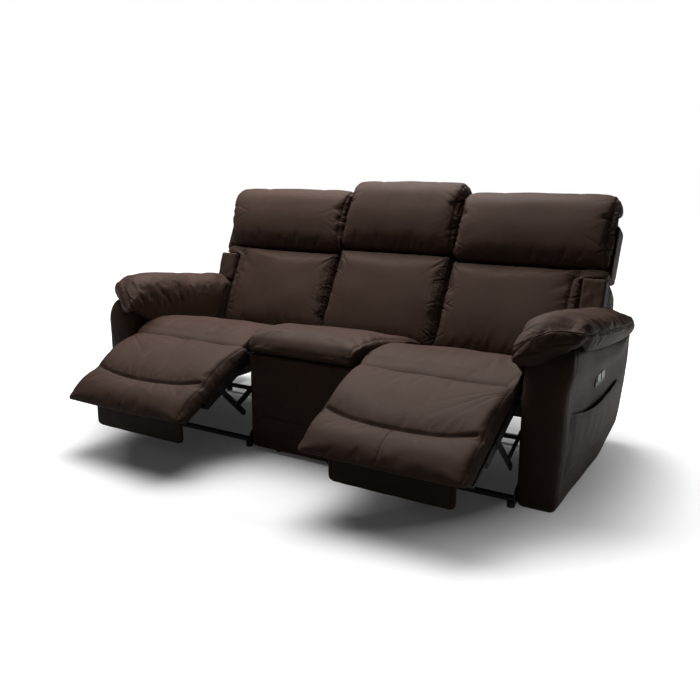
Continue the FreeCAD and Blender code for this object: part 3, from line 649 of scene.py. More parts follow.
@dataclass(frozen=True)
class GroupKit:
    """The node groups that several finishes use."""

    grain: bpy.types.NodeTree
    sewing: bpy.types.NodeTree
    scuffs: bpy.types.NodeTree

    @classmethod
    def build(cls) -> "GroupKit":
        """Makes the three groups once."""
        return cls(cls.leather_grain(), cls.seam_lines(), cls.worn_edges())

    @staticmethod
    def leather_grain() -> bpy.types.NodeTree:
        """Pebbled cells of about a millimetre, broken by fine creases, with slow changes of tone.

        Returns:
            The node group.
        """
        tree, ends = new_group(
            "leather_grain", {"Cells": 850.0, "Creases": 0.5}, ["Height", "Tone", "Hollows"]
        )
        w = Wiring(tree)
        place = w.add("ShaderNodeTexCoord").outputs["Object"]
        bend = w.add("ShaderNodeTexNoise")
        w.join(place, bend.inputs["Vector"])
        bend.inputs["Scale"].default_value = 60.0
        shift = w.add("ShaderNodeVectorMath", operation="MULTIPLY_ADD")
        w.join(bend.outputs["Color"], shift.inputs[0])
        shift.inputs[1].default_value = (0.004, 0.004, 0.004)
        w.join(place, shift.inputs[2])
        cells = w.add("ShaderNodeTexVoronoi", feature="DISTANCE_TO_EDGE")
        w.join(shift.outputs[0], cells.inputs["Vector"])
        w.join(ends["in"].outputs["Cells"], cells.inputs["Scale"])
        pebble = w.rescale(cells.outputs["Distance"], (0.0, 0.28), (0.0, 1.0))
        crease = w.noise(shift.outputs[0], 95.0, 5.0, 0.62)
        ridge = w.math("ABSOLUTE", w.math("SUBTRACT", crease, 0.5))
        furrow = w.rescale(ridge, (0.0, 0.07), (-1.0, 0.0))
        height = w.math("MULTIPLY_ADD", furrow, ends["in"].outputs["Creases"], pebble)
        slow = w.noise(place, 5.5, 3.0)
        middle = w.noise(place, 42.0, 3.0)
        tone = w.math("ADD", w.math("MULTIPLY", slow, 0.65), w.math("MULTIPLY", middle, 0.35))
        w.join(height, ends["out"].inputs["Height"])
        w.join(tone, ends["out"].inputs["Tone"])
        w.join(w.math("SUBTRACT", 1.0, pebble), ends["out"].inputs["Hollows"])
        return tree

    @staticmethod
    def seam_lines() -> bpy.types.NodeTree:
        """A sharp groove where the seam distance is 0, and dashes of thread beside it.

        The mesh carries the distance from the nearest seam, the distance along it and the distance
        of its stitch rows. A dash is 4 mm of thread and 1.5 mm of gap.

        Returns:
            The node group.
        """
        tree, ends = new_group(
            "seam_lines", {"Groove": 0.0012, "Thread": 0.0005}, ["Groove", "Thread", "Near"]
        )
        w = Wiring(tree)
        distance = w.math("ABSOLUTE", w.attribute("seam"))
        along, rows = w.attribute("seam_along"), w.attribute("stitch")
        groove = w.math(
            "SUBTRACT", 1.0, w.math("DIVIDE", distance, ends["in"].outputs["Groove"]), clamp=True
        )
        off = w.math("ABSOLUTE", w.math("SUBTRACT", distance, rows))
        row = w.math("LESS_THAN", off, ends["in"].outputs["Thread"])
        dash = w.math("LESS_THAN", w.math("FRACT", w.math("DIVIDE", along, 0.0055)), 0.73)
        sewn = w.math("GREATER_THAN", rows, 0.001)
        thread = w.math("MULTIPLY", w.math("MULTIPLY", row, dash), sewn)
        near = w.rescale(distance, (0.0, 0.02), (1.0, 0.0))
        w.join(groove, ends["out"].inputs["Groove"])
        w.join(thread, ends["out"].inputs["Thread"])
        w.join(near, ends["out"].inputs["Near"])
        return tree

    @staticmethod
    def worn_edges() -> bpy.types.NodeTree:
        """Edges that a bevelled normal finds, broken up by noise, and fine scratches.

        Returns:
            The node group.
        """
        tree, ends = new_group("worn_edges", {"Reach": 0.0015}, ["Edge", "Scratches", "Dust"])
        w = Wiring(tree)
        place = w.add("ShaderNodeTexCoord").outputs["Object"]
        soft = w.add("ShaderNodeBevel", samples=4)
        w.join(ends["in"].outputs["Reach"], soft.inputs["Radius"])
        normal = w.add("ShaderNodeNewGeometry").outputs["Normal"]
        dot = w.add("ShaderNodeVectorMath", operation="DOT_PRODUCT")
        w.join(soft.outputs[0], dot.inputs[0])
        w.join(normal, dot.inputs[1])
        edge = w.rescale(dot.outputs["Value"], (0.8, 0.98), (1.0, 0.0))
        patch = w.rescale(w.noise(place, 70.0, 4.0, 0.6), (0.48, 0.62), (0.0, 1.0))
        stretch = w.add("ShaderNodeMapping")
        stretch.inputs["Scale"].default_value = (1.0, 12.0, 3.0)
        w.join(place, stretch.inputs["Vector"])
        scratch = w.rescale(w.noise(stretch.outputs[0], 60.0, 6.0, 0.7), (0.6, 0.72), (0.0, 1.0))
        dust = w.rescale(w.noise(place, 18.0, 5.0, 0.65), (0.4, 0.75), (0.0, 1.0))
        w.join(w.math("MULTIPLY", edge, patch), ends["out"].inputs["Edge"])
        w.join(scratch, ends["out"].inputs["Scratches"])
        w.join(dust, ends["out"].inputs["Dust"])
        return tree


def start_material(name: str) -> tuple[bpy.types.Material, Wiring, bpy.types.Node]:
    """Makes a material with its Principled BSDF, and returns all three.

    Args:
        name: name of the new data.

    Returns:
        The material, its wiring and its shader.
    """
    material = bpy.data.materials.new(name)
    material.use_nodes = True
    tree = material.node_tree
    return material, Wiring(tree), tree.nodes["Principled BSDF"]


def raise_surface(
    w: Wiring, shader: bpy.types.Node, height: bpy.types.NodeSocket, distance: float, strength: float = 1.0
) -> None:
    """Feeds a height through a Bump node into the shader's normal.

    Args:
        w: wiring of the material's node tree.
        shader: the Principled BSDF.
        height: socket with the height.
        distance: height in metres at a value of 1.
        strength: share of the height that is used.
    """
    bump = w.add("ShaderNodeBump")
    bump.inputs["Strength"].default_value = strength
    bump.inputs["Distance"].default_value = distance
    w.join(height, bump.inputs["Height"])
    w.join(bump.outputs["Normal"], shader.inputs["Normal"])


@dataclass(frozen=True)
class Leather:
    """Smooth coated leather with pebbled grain, seams and thread."""

    name: str = "espresso_leather"
    colour: tuple[float, float, float] = (0.058, 0.0345, 0.0260)
    lift: tuple[float, float, float] = (0.078, 0.0470, 0.0360)
    thread: tuple[float, float, float] = (0.090, 0.062, 0.050)
    roughness: tuple[float, float] = (0.36, 0.48)
    cells: float = 850.0
    depth: float = 0.00022

    def build(self, kit: GroupKit) -> bpy.types.Material:
        """Joins grain and seam lines to the shader.

        Args:
            kit: the shared node groups.

        Returns:
            The finished material.
        """
        material, w, shader = start_material(self.name)
        grain = w.add("ShaderNodeGroup", node_tree=kit.grain)
        grain.inputs["Cells"].default_value = self.cells
        sewing = w.add("ShaderNodeGroup", node_tree=kit.sewing)
        tone = w.rescale(grain.outputs["Tone"], (0.3, 0.7), (0.0, 1.0))
        base = w.blend_colours(tone, self.colour, self.lift)
        hollow = w.math("MULTIPLY", grain.outputs["Hollows"], 0.35)
        base = w.blend_colours(hollow, base, tuple(c * 0.6 for c in self.colour))
        base = w.blend_colours(sewing.outputs["Groove"], base, tuple(c * 0.25 for c in self.colour))
        base = w.blend_colours(sewing.outputs["Thread"], base, self.thread)
        w.join(base, shader.inputs["Base Color"])
        rough = w.rescale(grain.outputs["Tone"], (0.3, 0.7), self.roughness)
        rough = w.math("ADD", rough, w.math("MULTIPLY", grain.outputs["Hollows"], 0.12))
        w.join(rough, shader.inputs["Roughness"])
        shader.inputs["Specular IOR Level"].default_value = 0.09
        shader.inputs["Specular Tint"].default_value = (1.0, 0.80, 0.70, 1.0)
        shader.inputs["Sheen Weight"].default_value = 0.0
        shader.inputs["Sheen Roughness"].default_value = 0.5
        shader.inputs["Sheen Tint"].default_value = (0.75, 0.62, 0.55, 1.0)
        height = w.math(
            "SUBTRACT", grain.outputs["Height"], w.math("MULTIPLY", sewing.outputs["Groove"], 6.0)
        )
        height = w.math("ADD", height, w.math("MULTIPLY", sewing.outputs["Thread"], 2.0))
        raise_surface(w, shader, height, self.depth)
        return material


@dataclass(frozen=True)
class PaintedSteel:
    """Black paint on stamped steel, worn to metal at its edges, with some dust."""

    name: str = "black_steel_paint"
    colour: tuple[float, float, float] = (0.018, 0.019, 0.021)
    metal: tuple[float, float, float] = (0.32, 0.32, 0.33)
    dust: tuple[float, float, float] = (0.075, 0.072, 0.07)
    roughness: tuple[float, float] = (0.34, 0.6)

    def build(self, kit: GroupKit) -> bpy.types.Material:
        """Joins wear, dust and orange peel to the shader.

        Args:
            kit: the shared node groups.

        Returns:
            The finished material.
        """
        material, w, shader = start_material(self.name)
        worn = w.add("ShaderNodeGroup", node_tree=kit.scuffs)
        place = w.add("ShaderNodeTexCoord").outputs["Object"]
        dusty = w.math("MULTIPLY", worn.outputs["Dust"], 0.25)
        base = w.blend_colours(dusty, self.colour, self.dust)
        edge = w.math("MULTIPLY", worn.outputs["Edge"], 0.55)
        base = w.blend_colours(edge, base, self.metal)
        w.join(base, shader.inputs["Base Color"])
        w.join(edge, shader.inputs["Metallic"])
        w.join(w.rescale(worn.outputs["Dust"], (0.0, 1.0), self.roughness), shader.inputs["Roughness"])
        peel = w.noise(place, 420.0, 2.0)
        height = w.math("SUBTRACT", peel, w.math("MULTIPLY", worn.outputs["Scratches"], 0.6))
        raise_surface(w, shader, height, 0.00012)
        return material


@dataclass(frozen=True)
class BareMetal:
    """Drawn or brushed metal with fine lines across it."""

    name: str
    colour: tuple[float, float, float] = (0.50, 0.50, 0.51)
    roughness: tuple[float, float] = (0.24, 0.42)
    lines: tuple[float, float, float] = (1.0, 40.0, 40.0)

    def build(self, kit: GroupKit) -> bpy.types.Material:
        """Joins brushed lines and slight tarnish to the shader.

        Args:
            kit: the shared node groups.

        Returns:
            The finished material.
        """
        material, w, shader = start_material(self.name)
        worn = w.add("ShaderNodeGroup", node_tree=kit.scuffs)
        place = w.add("ShaderNodeTexCoord").outputs["Object"]
        stretch = w.add("ShaderNodeMapping")
        stretch.inputs["Scale"].default_value = self.lines
        w.join(place, stretch.inputs["Vector"])
        line = w.noise(stretch.outputs[0], 45.0, 4.0)
        dark = tuple(c * 0.62 for c in self.colour)
        w.join(w.blend_colours(worn.outputs["Dust"], self.colour, dark), shader.inputs["Base Color"])
        shader.inputs["Metallic"].default_value = 1.0
        w.join(w.rescale(line, (0.3, 0.7), self.roughness), shader.inputs["Roughness"])
        raise_surface(w, shader, line, 0.00005)
        return material


@dataclass(frozen=True)
class Moulded:
    """Moulded plastic with fine spark texture and rubbed edges."""

    name: str
    colour: tuple[float, float, float]
    rubbed: tuple[float, float, float]
    roughness: tuple[float, float] = (0.42, 0.6)
    texture: float = 1400.0

    def build(self, kit: GroupKit) -> bpy.types.Material:
        """Joins texture, dust and rubbed edges to the shader.

        Args:
            kit: the shared node groups.

        Returns:
            The finished material.
        """
        material, w, shader = start_material(self.name)
        worn = w.add("ShaderNodeGroup", node_tree=kit.scuffs)
        place = w.add("ShaderNodeTexCoord").outputs["Object"]
        base = w.blend_colours(w.math("MULTIPLY", worn.outputs["Edge"], 0.7), self.colour, self.rubbed)
        base = w.blend_colours(w.math("MULTIPLY", worn.outputs["Dust"], 0.3), base, self.rubbed)
        w.join(base, shader.inputs["Base Color"])
        w.join(w.rescale(worn.outputs["Dust"], (0.0, 1.0), self.roughness), shader.inputs["Roughness"])
        raise_surface(w, shader, w.noise(place, self.texture, 2.0), 0.00006)
        return material


@dataclass(frozen=True)
class Timber:
    """Stained board with growth rings stretched along one direction, and open pores."""

    name: str
    light: tuple[float, float, float]
    dark: tuple[float, float, float]
    along: tuple[float, float, float] = (0.08, 1.0, 1.0)

    def build(self, kit: GroupKit) -> bpy.types.Material:
        """Joins rings, pores and scuffs to the shader.

        Args:
            kit: the shared node groups.

        Returns:
            The finished material.
        """
        material, w, shader = start_material(self.name)
        worn = w.add("ShaderNodeGroup", node_tree=kit.scuffs)
        place = w.add("ShaderNodeTexCoord").outputs["Object"]
        stretch = w.add("ShaderNodeMapping")
        stretch.inputs["Scale"].default_value = self.along
        w.join(place, stretch.inputs["Vector"])
        rings = w.add("ShaderNodeTexWave", wave_type="BANDS", bands_direction="DIAGONAL")
        w.join(stretch.outputs[0], rings.inputs["Vector"])
        rings.inputs["Scale"].default_value = 22.0
        rings.inputs["Distortion"].default_value = 9.0
        rings.inputs["Detail"].default_value = 3.0
        rings.inputs["Detail Scale"].default_value = 1.2
        pores = w.rescale(w.noise(stretch.outputs[0], 380.0, 3.0), (0.55, 0.7), (0.0, 1.0))
        base = w.blend_colours(rings.outputs["Fac"], self.light, self.dark)
        base = w.blend_colours(w.math("MULTIPLY", pores, 0.5), base, tuple(c * 0.5 for c in self.dark))
        w.join(base, shader.inputs["Base Color"])
        w.join(w.rescale(rings.outputs["Fac"], (0.0, 1.0), (0.55, 0.72)), shader.inputs["Roughness"])
        height = w.math("SUBTRACT", rings.outputs["Fac"], w.math("MULTIPLY", pores, 1.5))
        height = w.math("SUBTRACT", height, w.math("MULTIPLY", worn.outputs["Scratches"], 0.6))
        raise_surface(w, shader, height, 0.00012)
        return material


@dataclass(frozen=True)
class FloorPaint:
    """Pale floor that looks near white to the camera; its added glow is weaker near the sofa, which paints a
    soft shadow round and under it.
    """

    name: str = "pale_floor"
    colour: float = 0.88
    unseen: float = 0.16
    under: float = 0.02
    lift: float = 0.54
    far: float = 0.5

    def build(self) -> bpy.types.Material:
        """Adds plain light to a diffuse floor for camera and mirror rays alone, more away from the sofa.

        Returns:
            The finished material.
        """
        material, w, shader = start_material(self.name)
        shader.inputs["Roughness"].default_value = 0.85
        shader.inputs["Specular IOR Level"].default_value = 0.1
        place = w.add("ShaderNodeTexCoord").outputs["Object"]
        cloud = w.rescale(w.noise(place, 1.3, 3.0), (0.3, 0.7), (0.985, 1.0))
        shade = tuple([self.colour] * 3)
        pale = tuple([self.colour * 0.97] * 3)
        light = w.add("ShaderNodeEmission")
        path = w.add("ShaderNodeLightPath")
        seen = w.math("MAXIMUM", path.outputs["Is Camera Ray"], path.outputs["Is Glossy Ray"])
        seen = w.math("MAXIMUM", seen, path.outputs["Is Transmission Ray"])
        dark = tuple([self.unseen] * 3)
        base = w.blend_colours(path.outputs["Is Camera Ray"], dark, w.blend_colours(cloud, pale, shade))
        w.join(base, shader.inputs["Base Color"])
        reach = w.add("ShaderNodeVectorMath", operation="LENGTH")
        w.join(place, reach.inputs[0])
        # Painted shade: the glow is almost nil within 0.85 m of the sofa's middle and grows out to 1.35 m and
        # again out to 3 m, so the floor round and under the sofa looks darker than the lamps make it.
        near = w.rescale(reach.outputs["Value"], (0.85, 1.35), (self.under, self.lift))
        amount = w.math("ADD", near, w.rescale(reach.outputs["Value"], (1.4, 3.0), (0.0, self.far)))
        w.join(w.math("MULTIPLY", seen, amount), light.inputs["Strength"])
        both = w.add("ShaderNodeAddShader")
        w.join(shader.outputs[0], both.inputs[0])
        w.join(light.outputs[0], both.inputs[1])
        output = [n for n in w.tree.nodes if n.type == "OUTPUT_MATERIAL"][0]
        w.join(both.outputs[0], output.inputs["Surface"])
        return material


# Making padded pieces


@dataclass
class Upholsterer:
    """Turns shells into finished leather pieces and reports them.

    Attributes:
        leather: the leather of every cover.
        flat_leather: a darker copy of the leather for the flaps under the footrests, its darkness painted
            shade.
    """

    leather: bpy.types.Material
    flat_leather: bpy.types.Material

    def sew(
        self,
        name: str,
        shell: Shell,
        details: Callable[[Array], tuple[list[Seam], list[Puckers], Array]],
        refine: int = 1,
        material: bpy.types.Material | None = None,
    ) -> bpy.types.Object:
        """Refines a shell, presses its seams and puckers in, and gives it its leather.

        Args:
            name: the piece's name.
            shell: its swollen shape.
            details: gives seams, puckers and extra height from the rows of start places.
            refine: how many times the surface is subdivided.
            material: the leather, where it isn't the usual one.

        Returns:
            The finished object.
        """
        obj = shell.to_object(name)
        if refine:
            level = obj.modifiers.new("Subdivision", "SUBSURF")
            level.levels = level.render_levels = refine
            bake_modifiers(obj)
        fine = Shell.of_object(obj)
        seams, puckers, extra = details(fine.rest)
        height = np.array(np.broadcast_to(extra, len(fine.verts)), float)
        nearest = np.full(len(fine.verts), 1.0)
        along = np.zeros(len(fine.verts))
        stitch = np.zeros(len(fine.verts))
        for seam in seams:
            inside = np.broadcast_to(seam.inside, len(fine.verts))
            gap = np.abs(seam.distance) + (1.0 - inside) * 0.1
            pressed = np.exp(-((gap / seam.width) ** 2))
            height -= seam.depth * pressed
            closer = gap < np.abs(nearest)
            nearest = np.where(closer, gap * np.where(seam.distance < 0, -1.0, 1.0), nearest)
            along = np.where(closer, seam.along, along)
            stitch = np.where(closer, seam.stitch.value, stitch)
        for crease in puckers:
            height += crease.height()
        fine.push(height)
        verts = (fine.verts - np.array([0.0, FRONT, 0.0])).astype(np.float32)
        mesh = obj.data
        mesh.vertices.foreach_set("co", verts.ravel())
        for label, numbers in (("seam", nearest), ("seam_along", along), ("stitch", stitch)):
            layer = mesh.attributes.new(label, "FLOAT", "POINT")
            layer.data.foreach_set("value", numbers.astype(np.float32))
        mesh.attributes.remove(mesh.attributes["rest"])
        mesh.update()
        mesh.shade_smooth()
        mesh.materials.clear()
        mesh.materials.append(material or self.leather)
        LOG.info("%s: %d vertices", name, len(mesh.vertices))
        return obj

    def declare(
        self, obj: bpy.types.Object, body: str, nodes: list[str]
    ) -> None:
        """Attaches a padded piece to the body that it rides on and hides the solids that it stands for.

        Args:
            obj: the object to work on.
            body: body that the piece rides on.
            nodes: CAD nodes that the piece stands for.
        """
        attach(obj, body)
        if nodes:
            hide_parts(*nodes)


def mirrored(verts: Array, quads: Array, side: Side) -> tuple[Array, Array]:
    """Turns a right-hand shape into the side's own, with its faces still pointing outwards."""
    if side is Side.RIGHT:
        return verts, quads
    return verts * np.array([-1.0, 1.0, 1.0]), quads[:, ::-1]


@dataclass
class SeatCushion:
    """Seat of an end place: crowned, with a round nose about the footrest hinge."""

    side: Side
    inner: float = 0.264
    outer: float = 0.849
    nose_radius: float = 0.052
    crown: float = 0.010

    def outline(self, shares: Array) -> Array:
        """Fills the side outline: bottom cut back for the board, nose round the hinge, crowned top.

        Args:
            shares: shares of each point across the block.

        Returns:
            Rows of y and z.
        """
        angles = np.radians(np.linspace(168, 90, 7))
        nose = np.stack(
            [
                FOOTREST.y + self.nose_radius * np.cos(angles),
                FOOTREST.z + self.nose_radius * np.sin(angles),
            ], axis=1
        )
        front = np.concatenate(
            [[[0.068, 0.349], [0.064, 0.371], [0.050, 0.386], [0.018, 0.389], [-0.007, 0.3865]], nose]
        )
        top = [
            nose[-1], (0.060, 0.442), (0.100, 0.453), (0.150, 0.456), (0.20, 0.450), (0.30, 0.428),
            (0.45, 0.391), (0.612, 0.355),
        ]
        bottom = [(0.068, 0.349), (0.300, 0.349), (0.604, 0.349)]
        rear = [(0.604, 0.349), (0.608, 0.352), (0.612, 0.355)]
        return fill_outline(shares[:, 1], shares[:, 2], bottom, top, front, rear)

    def build(self, maker: Upholsterer) -> None:
        """Makes the cushion: shape, swelling, rear seam and puckers from its front outer corner.
        """
        shares, quads = unit_block((self.outer - self.inner, 0.60, 0.085), 0.020, 0.0092)
        yz = self.outline(shares)
        x = self.inner + (self.outer - self.inner) * shares[:, 0]
        across = 2 * shares[:, 0] - 1
        dome = self.crown * (1 - np.abs(across) ** 2.2) * ramp(shares[:, 2], 0.3, 1.0) * np.sin(
            np.pi * np.clip(shares[:, 1], 0, 1)
        ) ** 0.6
        verts = np.stack([x, yz[:, 0], yz[:, 1] + dome], axis=1)
        verts, quads = mirrored(verts, quads, self.side)
        shell = Shell(verts, quads, shares.copy())
        held = np.maximum(ramp(-shares[:, 2], -0.5, -0.35), 1 - ramp(shares[:, 1], 0.02, 0.07))
        Stuffing(cap=0.006, slack=0.010).swell(shell, held)

        def details(rest: Array) -> Details:
            """Side seams along the top edges, a faint rear seam, creases from the outer front corner."""
            width, depth = self.outer - self.inner, 0.60
            edge = np.minimum(rest[:, 0], 1 - rest[:, 0]) * width
            along = rest[:, 1] * depth
            high = ramp(rest[:, 2], 0.55, 0.8)
            rear = (rest[:, 1] - 0.80) * depth
            seams = [
                Seam(
                    edge - 0.012, along, 0.003, 0.006, Stitch.PLAIN, high * ramp(rest[:, 1], 0.02, 0.05)
                ),
                Seam(
                    rear, rest[:, 0] * width, 0.0016, 0.005, Stitch.TOPSTITCHED,
                    high * ramp(edge, 0.012, 0.02),
                ),
            ]
            seed = 11 if self.side is Side.RIGHT else 23
            puckers = [
                Puckers(edge, along, 0.030, 0.024, 0.0030, seed, 0.5, high),
                Puckers(
                    rest[:, 1] * depth, rest[:, 0] * width, 0.05, 0.045, 0.0020, seed + 3, 0.9,
                    high * ramp(rest[:, 0], 0.55, 0.9),
                ),
            ]
            broad = 0.0018 * waves(rest * np.array([width, depth, 0.0]), 0.16, seed + 5) * high
            return seams, puckers, broad

        obj = maker.sew(f"seat_cover_{self.side.word}", shell, details)
        maker.declare(obj, "base", [f"seat_cushion_{self.side.word}"])


@dataclass
class MiddleSeat:
    """Fixed seat in the middle, with its padded front panel."""

    half_low: float = 0.238
    half_high: float = 0.262
    panel_low: float = 0.012
    panel_top: float = 0.395
    fold: float = 0.145

    def cushion(self, maker: Upholsterer) -> None:
        """Makes the cushion, whose front rises straight from the panel and rolls over.
        """
        shares, quads = unit_block((0.52, 0.64, 0.11), 0.024, 0.0092)
        front = [(0.000, 0.397), (-0.001, 0.410), (0.000, 0.428), (0.009, 0.450)]
        top = [
            (0.009, 0.450), (0.024, 0.464), (0.060, 0.476), (0.13, 0.478), (0.20, 0.471), (0.33, 0.445),
            (0.45, 0.416), (0.600, 0.379),
        ]
        bottom = [(0.000, 0.397), (0.040, 0.394), (0.110, 0.351), (0.300, 0.351), (0.600, 0.351)]
        rear = [(0.600, 0.349), (0.600, 0.364), (0.600, 0.379)]
        yz = fill_outline(shares[:, 1], shares[:, 2], bottom, top, front, rear)
        half = (
            self.half_low
            + (self.half_high - self.half_low) * ramp(yz[:, 1], 0.390, 0.425)
            * ramp(yz[:, 0], -0.03, 0.14)
        )
        across = 2 * shares[:, 0] - 1
        dome = (
            0.010 * (1 - np.abs(across) ** 2.4) * ramp(shares[:, 2], 0.2, 1.0)
            * np.sin(np.pi * shares[:, 1]) ** 0.5
        )
        bulge = (
            0.004 * (1 - across**2) * (1 - ramp(shares[:, 1], 0.0, 0.06))
            * ramp(shares[:, 2], 0.05, 0.5)
        )
        verts = np.stack([across * half, yz[:, 0] - bulge, yz[:, 1] + dome], axis=1)
        shell = Shell(verts, quads, shares.copy())
        held = np.maximum(ramp(-shares[:, 2], -0.4, -0.2), ramp(np.abs(across), 0.97, 0.995) * 0.8)
        Stuffing(cap=0.006, slack=0.010).swell(shell, held)

        def details(rest: Array) -> Details:
            """Seams along both sides and across the rear, with small creases."""
            edge = np.minimum(rest[:, 0], 1 - rest[:, 0]) * 0.52
            high = ramp(rest[:, 2], 0.5, 0.75)
            seams = [
                Seam(edge - 0.014, rest[:, 1] * 0.64, 0.003, 0.006, Stitch.PLAIN, high),
                Seam(
                    (rest[:, 1] - 0.80) * 0.64, rest[:, 0] * 0.52, 0.0016, 0.005, Stitch.TOPSTITCHED,
                    high,
                ),
            ]
            puckers = [
                Puckers(edge, rest[:, 1] * 0.64, 0.028, 0.028, 0.0020, 31, 0.4, high),
                Puckers(
                    rest[:, 2] * 0.11, rest[:, 0] * 0.52, 0.03, 0.05, 0.0012, 37, 0.4,
                    1 - ramp(rest[:, 1], 0.0, 0.06),
                ),
            ]
            broad = 0.0018 * waves(rest * np.array([0.52, 0.6, 0.0]), 0.16, 39) * high
            return seams, puckers, broad

        obj = maker.sew("seat_cover_middle", shell, details)
        maker.declare(obj, "base", ["seat_cushion_middle"])

    def panel(self, maker: Upholsterer) -> None:
        """Makes the front panel, crowned, rounded at its corners and folded once across.
        """
        height = self.panel_top - self.panel_low
        shares, quads = unit_block((0.48, 0.026, height), 0.012, 0.008)
        across = 2 * shares[:, 0] - 1
        x = across * 0.2395
        z = self.panel_low + height * shares[:, 2]
        deep = 0.0215 * shares[:, 1]
        corner = 0.016 * ramp(np.abs(across), 0.90, 1.0) ** 2 * (1 - shares[:, 1])
        swell = (
            0.007 * (1 - np.abs(across) ** 3) * np.sin(np.pi * shares[:, 2]) ** 0.6
            * (1 - shares[:, 1])
        )
        verts = np.stack([x, deep + corner - swell, z], axis=1)
        shell = Shell(verts, quads, shares.copy())

        def details(rest: Array) -> Details:
            """One sewn fold across the panel and soft waves above and below it."""
            rise = (rest[:, 2] - (self.fold - self.panel_low) / height) * height
            face = 1 - ramp(rest[:, 1], 0.1, 0.4)
            seams = [Seam(rise, rest[:, 0] * 0.48, 0.0035, 0.008, Stitch.TOPSTITCHED, face)]
            puckers = [
                Puckers(rise, rest[:, 0] * 0.48, 0.02, 0.035, 0.0010, 41, 0.2, face),
                Puckers(
                    (1 - rest[:, 2]) * height, rest[:, 0] * 0.48, 0.035, 0.03, 0.0014, 43, 0.3, face
                ),
            ]
            return seams, puckers, 0.0012 * waves(rest * np.array([0.48, 0.0, height]), 0.11, 44) * face

        obj = maker.sew("front_cover_middle", shell, details)
        maker.declare(obj, "base", ["middle_front_panel"])

    def build(self, maker: Upholsterer) -> None:
        """Makes both pieces."""
        self.cushion(maker)
        self.panel(maker)


